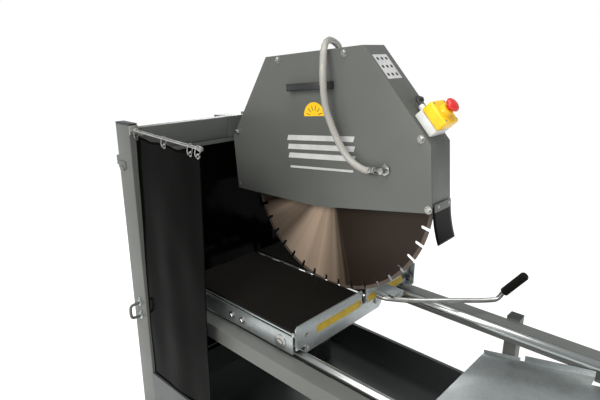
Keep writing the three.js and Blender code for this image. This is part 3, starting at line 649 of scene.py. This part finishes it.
def make_curtains():
    low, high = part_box("left_splash_curtain")
    top_y, foot_y = high.y - 0.003, low.y + 0.003
    hang = 0.017                                # the film's top edge below the rod

    def top(u):
        x = low.x + (high.x - low.x) * u
        nearest = min(abs(x - ring) for ring in CURTAIN_RINGS)
        return rod_height(x) - hang - 0.008 * min(1.0, nearest / 0.08) ** 1.5

    def side_place(s, d, z):
        share = (high.z - z) / (high.z - low.z)
        return Vector((s, top_y + (foot_y - top_y) * min(1.0, 1.35 * share) + d, z))

    make_sheet("left_curtain_film", (low.x, high.x), low.z, top,
               lambda u, v: waves(u, v, 1.7, 1.3, 0.0016), side_place, "left_splash_curtain")
    low_r, high_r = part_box("rear_splash_curtain")
    # the top steps down below the cheeks and the switch; lower, it fits between the beams, then the tubes
    steps = [(0.124, high_r.z), (0.204, high_r.z - 0.106), (high_r.y + 1, 0.890)]
    notches = [(0.706, 0.275 / high_r.y), (0.744, 0.234 / high_r.y)]

    def rear_place(s, d, z):
        narrowing = next((share for top, share in notches if z < top), 1.0)
        return Vector(((low_r.x + high_r.x) / 2 + d, s * narrowing, z))

    def rear_top(u):
        y = low_r.y + (high_r.y - low_r.y) * u
        return next(height for end, height in steps if y <= end)

    make_sheet("rear_curtain_film", (low_r.y, high_r.y), low_r.z, rear_top,
               lambda u, v: waves(u, v, 4.2, 4.4, 0.0008), rear_place, "rear_splash_curtain")
    path_sides = 28
    bm = bmesh.new()
    for x in CURTAIN_RINGS:
        eyelet = facing((x, top_y, rod_height(x) - hang - 0.007), (0, 1, 0))
        add_ring(bm, [(0.004, -0.0016), (0.0075, -0.0016), (0.0075, 0.0016), (0.004, 0.0016)], eyelet, 24)
    finish_mesh("curtain_eyelets", bm, BOLT, "frame")
    for index, x in enumerate(CURTAIN_RINGS):
        loop = []
        for i in range(path_sides):
            angle = 2 * math.pi * i / path_sides
            loop.append(Vector((x + 0.003 * math.sin(angle), ROD_Y + 0.0035 + 0.0085 * math.cos(angle),
                                rod_height(x) - 0.0105 + 0.0165 * math.sin(angle))))
        add_rod(f"curtain_ring_{index + 1}", loop, 0.0013, BOLT, "frame", closed=True)
    bm = bmesh.new()
    for y in (-0.29, -0.13, 0.03):
        add_bolt(bm, facing((-0.6526, y, high_r.z - 0.008), (1, 0, 0)), 0.0035, 0.002, washer=False)
    add_box(bm, (-0.6532, -0.346, high_r.z - 0.015), (-0.6522, 0.121, high_r.z - 0.001), 0.0004, 1)
    finish_mesh("rear_curtain_clamp", bm, PAINT, "frame")


make_curtains()


# ---- rolling table ----
def make_mats():
    pitch, depth = 0.005, 0.0014
    for word in ("left", "right"):
        low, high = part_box(f"mat_{word}")
        count = int((high.x - low.x) / pitch)
        step = (high.x - low.x) / count
        line = [(low.x, low.z)]
        for i in range(count):
            x = low.x + i * step
            line += [(x + step * 0.12, high.z - depth), (x + step * 0.30, high.z), (x + step * 0.70, high.z),
                     (x + step * 0.88, high.z - depth)]
        line.append((high.x, low.z))
        bm = bmesh.new()
        turn = Matrix.Rotation(math.radians(90), 4, "X")
        add_prism(bm, line, -high.y, -low.y, turn)
        mat = finish_mesh(f"ribbed_mat_{word}", bm, RUBBER, "rolling_table", smooth=30)
        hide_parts(f"mat_{word}")


def make_table_bolts():
    bm = bmesh.new()
    for side in (-1, 1):
        for x in (-0.321, -0.274):
            add_bolt(bm, facing((x, side * 0.2842, 0.7515), (0, side, 0)), 0.0085, 0.0062)
        big = 0.021
        for x in (-0.508, -0.110):
            place = facing((x, side * 0.2841, 0.7515), (0, side, 0))
            add_lathe(bm, [(0, 0), (big, 0), (big, 0.0018), (big - 0.002, 0.0026), (0, 0.0026)], place, 40)
            add_bolt(bm, place, 0.0118, 0.0062, washer=False)
    for y, z in ((-0.231, 0.770), (-0.233, 0.729)):
        add_bolt(bm, facing((FENCE_FACE, y, z), (1, 0, 0)), 0.0062)
    for y, z in ((0.020, 0.801), (0.053, 0.768), (0.020, 0.768)):
        add_bolt(bm, facing((FENCE_FACE, y, z), (1, 0, 0)), 0.0035)
    add_bolt(bm, facing((FENCE_FACE - 0.006, -0.278, 0.7865), (0, -1, 0)), 0.005)
    finish_mesh("table_bolts", bm, BOLT, "rolling_table")


def make_ruler():
    """Two yellow ruler strips on the fence, with plain tick marks."""
    bm = bmesh.new()
    marks = bmesh.new()
    face = FENCE_FACE
    for start, end in ((-0.189, 0.020), (0.052, 0.257)):
        add_box(bm, (face, start, 0.757), (face + 0.0006, end, 0.782))
        count = int((end - start) / 0.005)
        for i in range(1, count):
            y = start + i * 0.005
            tall = 0.011 if i % 10 == 0 else 0.0075 if i % 5 == 0 else 0.004
            add_box(marks, (face + 0.0006, y - 0.0003, 0.782 - tall), (face + 0.0007, y + 0.0003, 0.782))
    finish_mesh("ruler_strips", bm, STRIP_YELLOW, "rolling_table")
    finish_mesh("ruler_ticks", marks, MARK, "rolling_table")


def make_push_handle():
    z = 0.765
    start = FENCE_FACE + 0.0003
    route = [(start + 0.002, 0.104, z), (start + 0.032, 0.106, z), (-0.006, 0.116, z), (0.043, 0.148, z),
             (0.140, 0.239, z), (0.225, 0.322, z), (0.240, 0.336, z + 0.003), (0.248, 0.342, z + 0.012),
             (0.254, 0.343, z + 0.024), (0.259, 0.343, z + 0.031)]
    tube = add_rod("push_handle_tube", smooth_path(route, 8), 0.008, BOLT, "rolling_table")
    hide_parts("push_handle")
    bm = bmesh.new()
    add_box(bm, (start, 0.096, 0.738), (start + 0.004, 0.168, 0.782), 0.0008, 2)
    add_box(bm, (start + 0.001, 0.112, 0.778), (start + 0.062, 0.168, 0.782), 0.0012, 2)
    add_box(bm, (start + 0.058, 0.112, 0.762), (start + 0.062, 0.168, 0.7815), 0.0012, 2)
    finish_mesh("push_handle_bracket", bm, ZINC, "rolling_table")
    foot, head = Vector((0.2596, 0.343, z + 0.0318)), Vector((0.318, 0.343, 0.875))
    along = head - foot
    profile = [(0, 0), (0.0105, 0), (0.0135, 0.002), (0.0138, 0.008)]
    ribs = 11
    for i in range(ribs):
        at = 0.012 + (along.length - 0.030) * i / ribs
        profile += [(0.0138, at), (0.0122, at + 0.0012), (0.0122, at + 0.0024), (0.0138, at + 0.0036)]
    profile += [(0.0138, along.length - 0.006), (0.011, along.length - 0.001), (0, along.length)]
    bm = bmesh.new()
    add_lathe(bm, profile, facing(foot, along), 36)
    grip = finish_mesh("ribbed_grip", bm, RUBBER, "rolling_table", smooth=50)
    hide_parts("handle_grip")


def make_fence_knob():
    """A star knob with six rounded lobes on a threaded stud."""
    low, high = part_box("fence_knob")
    centre = (low + high) / 2
    outline = []
    for i in range(72):
        angle = 2 * math.pi * i / 72
        radius = 0.0112 + 0.0013 * math.cos(6 * angle)
        outline.append(polar(radius, angle))
    place = facing((low.x, centre.y, centre.z), (1, 0, 0))
    bm = bmesh.new()
    add_prism(bm, outline, 0.0060, 0.0182, place)
    add_lathe(bm, [(0, 0.0180), (0.0085, 0.0180), (0.0070, 0.0196), (0, 0.0196)], place, 28)
    add_lathe(bm, disc(0.0058, 0.0062), place, 28)
    knob = finish_mesh("star_knob", bm, BLACK, "fence_knob")
    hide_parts("fence_knob")


make_mats()
make_table_bolts()
make_ruler()
make_push_handle()
make_fence_knob()


# ---- guard ----
def head_facing(x, y, z, out, turn=0.0):
    """A frame on the head, given level."""
    return HEAD @ facing((x, y, z), out, turn)


def slant_frame():
    """The slanted front face: X down the slant, Y across the guard, Z off it, from the slant's foot."""
    (top_x, top_z), (foot_x, foot_z) = GUARD_OUTLINE[3], GUARD_OUTLINE[4]
    down = Vector((foot_x - top_x, 0, foot_z - top_z)).normalized()
    out = Vector((-down.z, 0, down.x))
    own = Matrix((down, Vector((0, 1, 0)), out)).transposed().to_4x4()
    return HEAD @ Matrix.Translation((foot_x, 0, foot_z)) @ own


SLANT = slant_frame()


def make_guard_bolts():
    bm = bmesh.new()
    near = GUARD_NEAR
    for x, z in ((0.278, 0.289), (0.537, 0.287), (0.049, 0.065), (0.770, 0.056), (0.788, -0.128)):
        add_bolt(bm, head_facing(x, near, z - 0.004, (0, -1, 0)), 0.0075, 0.0062)
    add_bolt(bm, head_facing(0.036, near, -0.126, (0, -1, 0)), 0.004, 0.003, washer=False)
    for y in (0.014, 0.070):
        add_bolt(bm, head_facing(0.798, y, -0.128, (1, 0, 0)), 0.0052)
    for x, z in ((0.120, 0.10), (0.52, 0.20), (0.70, -0.06)):
        add_bolt(bm, head_facing(x, GUARD_FAR, z, (0, 1, 0)), 0.0062)
    finish_mesh("guard_bolts", bm, BOLT, "cutting_head")


def make_bow_handle():
    """A black bow handle with round corners, open behind for the fingers."""
    outer = [(0.320, 0), (0.320, 0.010), (0.326, 0.022), (0.336, 0.0296), (0.479, 0.0296),
             (0.489, 0.022), (0.495, 0.010), (0.495, 0), (0.469, 0), (0.469, 0.014),
             (0.462, 0.0195), (0.353, 0.0195), (0.346, 0.014), (0.346, 0)]
    near = GUARD_NEAR - DETAIL
    place = HEAD @ Matrix.Translation((0, near, 0.1995)) @ Matrix.Scale(-1, 4, (0, 1, 0))
    bm = bmesh.new()
    add_prism(bm, outer, -0.011, 0.011, Matrix.Identity(4))
    bmesh.ops.recalc_face_normals(bm, faces=bm.faces)
    rim = [e for e in bm.edges if abs(e.verts[0].co.z - e.verts[1].co.z) < 1e-6]
    bmesh.ops.bevel(bm, geom=rim, offset=0.0028, segments=3, profile=0.5, affect="EDGES")
    handle = finish_mesh("bow_handle", bm, BLACK, "cutting_head", smooth=50, matrix=place)
    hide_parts("guard_handle")


def make_decals():
    """Plain marks: stripes and a yellow half disc on the near cover, and a label on the slanted face."""
    near = GUARD_NEAR
    face = HEAD @ Matrix.Translation((0, near, 0)) @ Matrix.Rotation(math.radians(90), 4, "X")
    bars = bmesh.new()
    stripes = [(-0.018, -0.002), (0.010, 0.026), (0.038, 0.054)]
    for low, high in stripes:
        add_prism(bars, [(0.292, low), (0.554, low), (0.560, high), (0.298, high)], 0, 0.0003, face)
    add_prism(bars, [(0.297, -0.050), (0.548, -0.050), (0.550, -0.043), (0.299, -0.043)], 0, 0.0003, face)
    finish_mesh("plain_stripes", bars, WHITE, "cutting_head")
    radius, centre = 0.041, (0.413, 0.112)
    arc = [tuple(Vector(centre) + Vector(polar(radius, math.pi * i / 40))) for i in range(41)]
    half = bmesh.new()
    add_prism(half, arc, 0, 0.0003, face)
    finish_mesh("half_disc", half, YELLOW, "cutting_head")
    rays = bmesh.new()
    for t in [math.pi * (i + 0.5) / 6 for i in range(6)]:
        along, side = Vector((math.cos(t), math.sin(t))), Vector((-math.sin(t), math.cos(t))) * 0.0011
        middle = Vector(centre)
        quad = [middle + along * 0.017 - side, middle + along * 0.032 - side, middle + along * 0.032 + side,
                middle + along * 0.017 + side]
        add_prism(rays, [tuple(p) for p in quad], 0.0003, 0.0004, face)
    finish_mesh("half_disc_rays", rays, MARK, "cutting_head")
    label = bmesh.new()
    slant_length = (Vector(GUARD_OUTLINE[4]) - Vector(GUARD_OUTLINE[3])).length
    start, end = -slant_length + 0.034, -slant_length + 0.116
    add_box_at(label, SLANT, (start, -0.003, 0), (end, 0.063, 0.0003))
    finish_mesh("plain_label", label, WHITE, "cutting_head")
    dots = bmesh.new()
    for row, column in product(range(3), range(3)):
        x, y = start + 0.014 + 0.027 * row, 0.010 + 0.020 * column
        spot = SLANT @ Matrix.Translation((x, y, 0.0003))
        add_lathe(dots, disc(0.0052, 0.0001), spot, 20)
    finish_mesh("plain_label_dots", dots, MARK, "cutting_head")


def make_flap():
    """A glossy rubber flap that hangs from the guard's front and curls out a little."""
    wide = (GUARD_NEAR + 0.004, GUARD_FAR - 0.002)
    top, length = -0.126, 0.100

    def point(u, v):
        y = wide[0] + (wide[1] - wide[0]) * u
        x = 0.7995 - 0.004 * v + 0.016 * v * v + 0.0012 * math.sin(2.5 * u + 1) * v
        return HEAD @ Vector((x, y, top - length * v))

    bm = bmesh.new()
    add_grid(bm, 10, 22, point, turned=True)
    flap = finish_mesh("rubber_flap", bm, FLAP, "cutting_head", smooth=180)
    thick = flap.modifiers.new("thickness", "SOLIDIFY")
    thick.thickness = 0.003
    thick.offset = 0
    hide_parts("front_flap")
    bm = bmesh.new()
    strip = HEAD @ Matrix.Translation((0.801, 0, 0))
    add_box_at(bm, strip, (0, wide[0] + 0.004, -0.140), (0.0018, wide[1] - 0.004, -0.118), 0.0006)
    finish_mesh("flap_strip", bm, PAINT, "cutting_head")


make_guard_bolts()
make_bow_handle()
make_decals()
make_flap()


# ---- emergency stop ----
def make_emergency_stop():
    """Grey base, yellow cover with a collar, red mushroom, gland and cable, on the slanted face."""
    u, y = (-0.090, -0.020), (-0.002, 0.068)
    centre = Vector(((u[0] + u[1]) / 2, (y[0] + y[1]) / 2, 0))
    base = bmesh.new()
    add_box_at(base, SLANT, (u[0], y[0], DETAIL), (u[1], y[1], 0.026), 0.004)
    base_piece = finish_mesh("stop_base", base, GREY, "cutting_head")
    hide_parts("estop_base")
    cover = bmesh.new()
    add_box_at(cover, SLANT, (u[0], y[0], 0.0264), (u[1], y[1], 0.060), 0.0055)
    axis = SLANT @ Matrix.Translation(centre)
    collar = [(0.0088, 0.052), (0.0195, 0.052), (0.0190, 0.060), (0.0162, 0.0635), (0.0158, 0.0710),
              (0.0145, 0.0720), (0.0088, 0.0720)]
    add_ring(cover, collar, axis, 44)
    cover_piece = finish_mesh("stop_cover", cover, YELLOW, "cutting_head")
    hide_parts("estop_cover")
    button = bmesh.new()
    cap = [(0, 0.060), (0.0078, 0.060), (0.0078, 0.0795), (0.0120, 0.0800), (0.0188, 0.0806),
           (0.0200, 0.0822), (0.0198, 0.0850), (0.0180, 0.0885), (0.0140, 0.0912), (0.0080, 0.0926),
           (0, 0.0930)]
    add_lathe(button, cap, axis, 48)
    mushroom = finish_mesh("stop_mushroom", button, RED, "estop_button", smooth=50)
    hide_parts("estop_button")
    gland = bmesh.new()
    place = SLANT @ facing((u[0], centre.y, 0.014), (-1, 0, 0))
    nut = [(0, 0), (0.0100, 0), (0.0100, 0.007), (0.0085, 0.0075), (0.0085, 0.015), (0.0060, 0.019),
           (0, 0.019)]
    add_lathe(gland, nut, place, 24)
    finish_mesh("stop_gland", gland, GREY, "cutting_head")
    screws = bmesh.new()
    for x, across in product((u[0] + 0.008, u[1] - 0.008), (y[0] + 0.008, y[1] - 0.008)):
        spot = SLANT @ Matrix.Translation((x, across, 0.0598))
        add_lathe(screws, [(0, 0), (0.0030, 0), (0.0030, 0.0006), (0.0022, 0.0010), (0, 0.0010)], spot, 16)
    finish_mesh("stop_screws", screws, BOLT, "cutting_head")
    start = u[0] - 0.018
    lead = [(0, 0, 0.014), (0.010, 0, 0.014), (0.022, 0.004, 0.0135), (0.030, 0.016, 0.011),
            (0.030, 0.034, 0.007), (0.026, 0.050, 0.004), (0.022, 0.058, -0.006), (0.020, 0.060, -0.022)]
    route = [(start - back, centre.y + aside, z) for back, aside, z in lead]
    path = [SLANT @ p for p in smooth_path(route, 8)]
    add_rod("stop_lead", path, 0.0035, BLACK, "cutting_head")


make_emergency_stop()


# ---- saw disc ----
def make_disc():
    """The steel core with a gullet between each two segments, and the segments, a little thicker."""
    count, outer, depth, half = 40, 0.350, 0.027, 0.005
    rim = outer - 0.011
    centre = HEAD @ Vector((SPINDLE[0], 0.036, SPINDLE[1]))
    turn = Matrix.Rotation(math.radians(90), 4, "X") @ Matrix.Rotation(math.radians(5.5), 4, "Z")
    outline = []
    for i in range(count):
        mid = 2 * math.pi * i / count
        edge = math.sqrt(rim * rim - half * half)
        bottom = outer - depth
        gullet = [(edge, -half), (bottom + half, -half)]
        round_end = [polar(half, math.pi * k / 6) for k in range(1, 6)]
        gullet += [(bottom + half - rise, -across) for across, rise in round_end]
        gullet += [(bottom + half, half), (edge, half)]
        cos, sin = polar(1, mid)
        outline += [(a * cos - b * sin, a * sin + b * cos) for a, b in gullet]
        slot_angle, pitch = math.asin(half / rim), 2 * math.pi / count
        land = pitch - 2 * slot_angle
        outline += [polar(rim, mid + slot_angle + land * k / 5) for k in range(1, 5)]
    core = bmesh.new()
    bore = 0.0181
    sides = len(outline)
    rings = []
    for z in (-0.0016, 0.0016):
        rings.append([core.verts.new(turn @ Vector((x, y, z))) for x, y in outline])
        angles = [math.atan2(y, x) for x, y in outline]
        rings.append([core.verts.new(turn @ Vector((*polar(bore, t), z))) for t in angles])
    low_rim, low_bore, high_rim, high_bore = rings
    for i in range(sides):
        j = (i + 1) % sides
        core.faces.new([high_rim[i], high_rim[j], high_bore[j], high_bore[i]])
        core.faces.new([low_bore[i], low_bore[j], low_rim[j], low_rim[i]])
        core.faces.new([low_rim[i], low_rim[j], high_rim[j], high_rim[i]])
        core.faces.new([high_bore[i], high_bore[j], low_bore[j], low_bore[i]])
    disc = finish_mesh("disc_core", core, BLADE, "spindle", smooth=30)
    disc.location = centre
    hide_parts("saw_blade")
    segments = bmesh.new()
    for i in range(count):
        start = 2 * math.pi * i / count + math.asin(half / outer) + 0.001
        span = 2 * math.pi / count - 2 * math.asin(half / outer) - 0.002
        steps = [start + span * k / 5 for k in range(6)]
        arc = [polar(rim, t) for t in steps]
        arc += [polar(outer, t) for t in reversed(steps)]
        add_prism(segments, arc, -0.0020, 0.0020, turn)
    rim_piece = finish_mesh("disc_segments", segments, SEGMENT, "spindle", smooth=30)
    rim_piece.location = centre


make_disc()


# ---- motor, pump and switch box ----
def make_motor():
    """A finned motor with a fan cover, terminal box and foot."""
    mx, mz = MOTOR
    axis = HEAD @ facing((mx, 0.150, mz), (0, 1, 0))
    bm = bmesh.new()
    fins = 44
    outline = []
    for i in range(fins):
        start = 2 * math.pi * i / fins
        for share, radius in ((0.0, 0.086), (0.30, 0.086), (0.36, 0.0975), (0.62, 0.0975), (0.70, 0.086)):
            angle = start + share * 2 * math.pi / fins
            outline.append(polar(radius, angle))
    add_prism(bm, outline, 0.026, 0.176, axis)
    drive_end = [(0, -0.010), (0.058, -0.010), (0.060, -0.004), (0.060, 0.002), (0.084, 0.006),
                 (0.096, 0.014), (0.096, 0.027), (0, 0.027)]
    add_lathe(bm, drive_end, axis, 56)
    fan_cover = [(0, 0.175), (0.0962, 0.175), (0.0962, 0.200), (0.092, 0.202), (0.092, 0.219),
                 (0.087, 0.2255), (0, 0.2255)]
    add_lathe(bm, fan_cover, axis, 56)
    add_box_at(bm, HEAD, (mx - 0.080, 0.166, 0.0025), (mx - 0.052, 0.334, 0.050), 0.003)
    add_box_at(bm, HEAD, (mx + 0.052, 0.166, 0.0025), (mx + 0.080, 0.334, 0.050), 0.003)
    add_box_at(bm, HEAD, (mx - 0.080, 0.170, 0.0025), (mx + 0.080, 0.330, 0.016), 0.002)
    add_box_at(bm, HEAD, (mx + 0.084, 0.200, mz - 0.040), (mx + 0.114, 0.300, mz + 0.050), 0.004)
    add_box_at(bm, HEAD, (mx + 0.1145, 0.198, mz - 0.042), (mx + 0.1218, 0.302, mz + 0.052), 0.003)
    motor = finish_mesh("finned_motor", bm, MOTOR_BLUE, "cutting_head")
    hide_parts("motor")
    trim = bmesh.new()
    for ring in range(5):
        radius = 0.022 + 0.013 * ring
        band = [(radius, 0.2254), (radius + 0.006, 0.2254), (radius + 0.006, 0.2259), (radius, 0.2259)]
        add_ring(trim, band, axis, 44)
    add_lathe(trim, [(0, 0), (0.011, 0), (0.011, 0.008), (0.007, 0.016), (0, 0.016)],
              HEAD @ facing((mx + 0.100, 0.250, mz - 0.040), (0, 0, -1)), 24)
    finish_mesh("motor_grille", trim, BLACK, "cutting_head")
    screws = bmesh.new()
    for y, z in product((0.206, 0.294), (-0.034, 0.044)):
        add_bolt(screws, HEAD @ facing((mx + 0.1216, y, mz + z), (1, 0, 0)), 0.0035, 0.0022, washer=False)
    for x, y in product((-0.066, 0.066), (0.185, 0.315)):
        add_bolt(screws, HEAD @ facing((mx + x, y, -0.006), (0, 0, -1)), 0.006)
    finish_mesh("motor_screws", screws, BOLT, "cutting_head")


def make_belt_cover_screws():
    bm = bmesh.new()
    for (x, z), shift in product((SPINDLE, MOTOR), (-0.045, 0.045)):
        add_bolt(bm, head_facing(x + shift, 0.133, z + shift * 0.5, (0, 1, 0)), 0.0045)
    finish_mesh("belt_cover_screws", bm, BOLT, "cutting_head")


def make_pump():
    low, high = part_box("water_pump")
    centre = (low + high) / 2
    place = Matrix.Translation((centre.x, centre.y, low.z))
    bm = bmesh.new()
    profile = [(0, 0), (0.050, 0), (0.052, 0.003), (0.052, 0.012)]
    for i in range(8):
        z = 0.014 + i * 0.0085
        profile += [(0.052, z), (0.0495, z + 0.0012), (0.0495, z + 0.0045), (0.052, z + 0.0057)]
    profile += [(0.052, 0.090), (0.049, 0.095), (0.042, 0.097), (0.040, 0.100), (0.040, 0.113),
                (0.036, 0.118), (0.0135, 0.119), (0.0135, 0.124), (0.010, 0.126)]
    for i in range(3):
        z = 0.127 + i * 0.004
        profile += [(0.0100, z), (0.0088, z + 0.0034)]
    profile += [(0.0085, 0.1395), (0, 0.1395)]
    add_lathe(bm, profile, place, 48)
    pump = finish_mesh("ribbed_pump", bm, BLACK, "frame", smooth=45)
    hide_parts("water_pump")


def make_switch_box():
    low, high = (-0.648, 0.212, 0.900), (-0.568, 0.320, 1.060)
    bm = bmesh.new()
    add_box(bm, low, (high[0] - 0.024, high[1], high[2]), 0.004)
    add_box(bm, (high[0] - 0.0237, low[1], low[2]), (high[0] - 0.006, high[1], high[2]), 0.004)
    add_box(bm, (-0.672, 0.2045, 0.930), (-0.647, 0.3515, 0.960), 0.0015)
    place = facing(((low[0] + high[0]) / 2, 0.266, 0.901), (0, 0, -1))
    plug = [(0, 0), (0.022, 0), (0.022, 0.022), (0.018, 0.024), (0.018, 0.0305), (0, 0.0305)]
    add_lathe(bm, plug, place, 32)
    box = finish_mesh("switch_housing", bm, GREY, "frame")
    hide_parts("switch_box")
    face = high[0] - 0.006
    key = [(0, 0), (0.0125, 0), (0.0125, 0.002), (0.0105, 0.0022), (0.0105, 0.0050), (0.0090, 0.0058),
           (0, 0.0058)]
    for name, z, material in (("switch_on", 1.025, GREEN), ("switch_off", 0.985, RED)):
        bm = bmesh.new()
        spot = facing((face, 0.266, z), (1, 0, 0))
        add_lathe(bm, key, spot, 32)
        finish_mesh(name, bm, material, "frame")
    bm = bmesh.new()
    for y, z in product((0.222, 0.310), (0.910, 1.050)):
        spot = facing((face, y, z), (1, 0, 0))
        add_lathe(bm, [(0, 0), (0.004, 0), (0.0032, 0.0012), (0, 0.0012)], spot, 16)
    finish_mesh("switch_screws", bm, BOLT, "frame")


make_motor()
make_belt_cover_screws()
make_pump()
make_switch_box()


# ---- floor and light ----
def make_stage():
    bm = bmesh.new()
    for x, y in ((-30, -30), (30, -30), (30, 30), (-30, 30)):
        bm.verts.new((x, y, -0.0005))
    bm.faces.new(bm.verts)
    mesh = bpy.data.meshes.new("floor")
    bm.to_mesh(mesh)
    bm.free()
    floor = bpy.data.objects.new("floor", mesh)
    bpy.context.scene.collection.objects.link(floor)
    pale = Shader("pale_floor", (0.92, 0.92, 0.91), 0.9)
    pale.vary_color(pale.noise(0.8, 3), (0.91, 0.91, 0.90), (0.93, 0.93, 0.92))
    mesh.materials.append(pale.material)


def add_light(name, place, target, size, power, color=(1, 1, 1)):
    data = bpy.data.lights.new(name, "AREA")
    data.shape = "RECTANGLE"
    data.size, data.size_y = size
    data.energy = power
    data.color = color
    light = bpy.data.objects.new(name, data)
    bpy.context.scene.collection.objects.link(light)
    light.location = place
    light.rotation_euler = (Vector(target) - Vector(place)).to_track_quat("-Z", "Y").to_euler()


def make_light():
    """A dim even room, seen as white, soft lights near and behind, and a wide sun overhead."""
    world = bpy.data.worlds.new("studio")
    bpy.context.scene.world = world
    world.use_nodes = True
    tree = world.node_tree
    room = tree.nodes["Background"]
    room.inputs["Color"].default_value = (0.95, 0.98, 1.0, 1)
    room.inputs["Strength"].default_value = 0.45
    backdrop = tree.nodes.new("ShaderNodeBackground")
    backdrop.inputs["Color"].default_value = (1, 1, 1, 1)
    seen = tree.nodes.new("ShaderNodeLightPath")
    mix = tree.nodes.new("ShaderNodeMixShader")
    tree.links.new(seen.outputs["Is Camera Ray"], mix.inputs[0])
    tree.links.new(room.outputs[0], mix.inputs[1])
    tree.links.new(backdrop.outputs[0], mix.inputs[2])
    tree.links.new(mix.outputs[0], tree.nodes["World Output"].inputs["Surface"])
    add_light("key", (0.1, -3.2, 2.7), (-0.1, 0.0, 0.9), (1.8, 1.4), 78, (1.0, 0.98, 0.95))
    add_light("back", (-3.0, 2.2, 2.4), (-0.3, 0.0, 0.9), (1.6, 1.6), 40)
    overhead = bpy.data.lights.new("overhead", "SUN")
    overhead.energy = 2.3
    overhead.angle = math.radians(50)
    light = bpy.data.objects.new("overhead", overhead)
    bpy.context.scene.collection.objects.link(light)
    light.rotation_euler = (math.radians(8), math.radians(6), 0)
    bpy.context.scene.view_settings.view_transform = "Standard"


make_stage()
make_light()
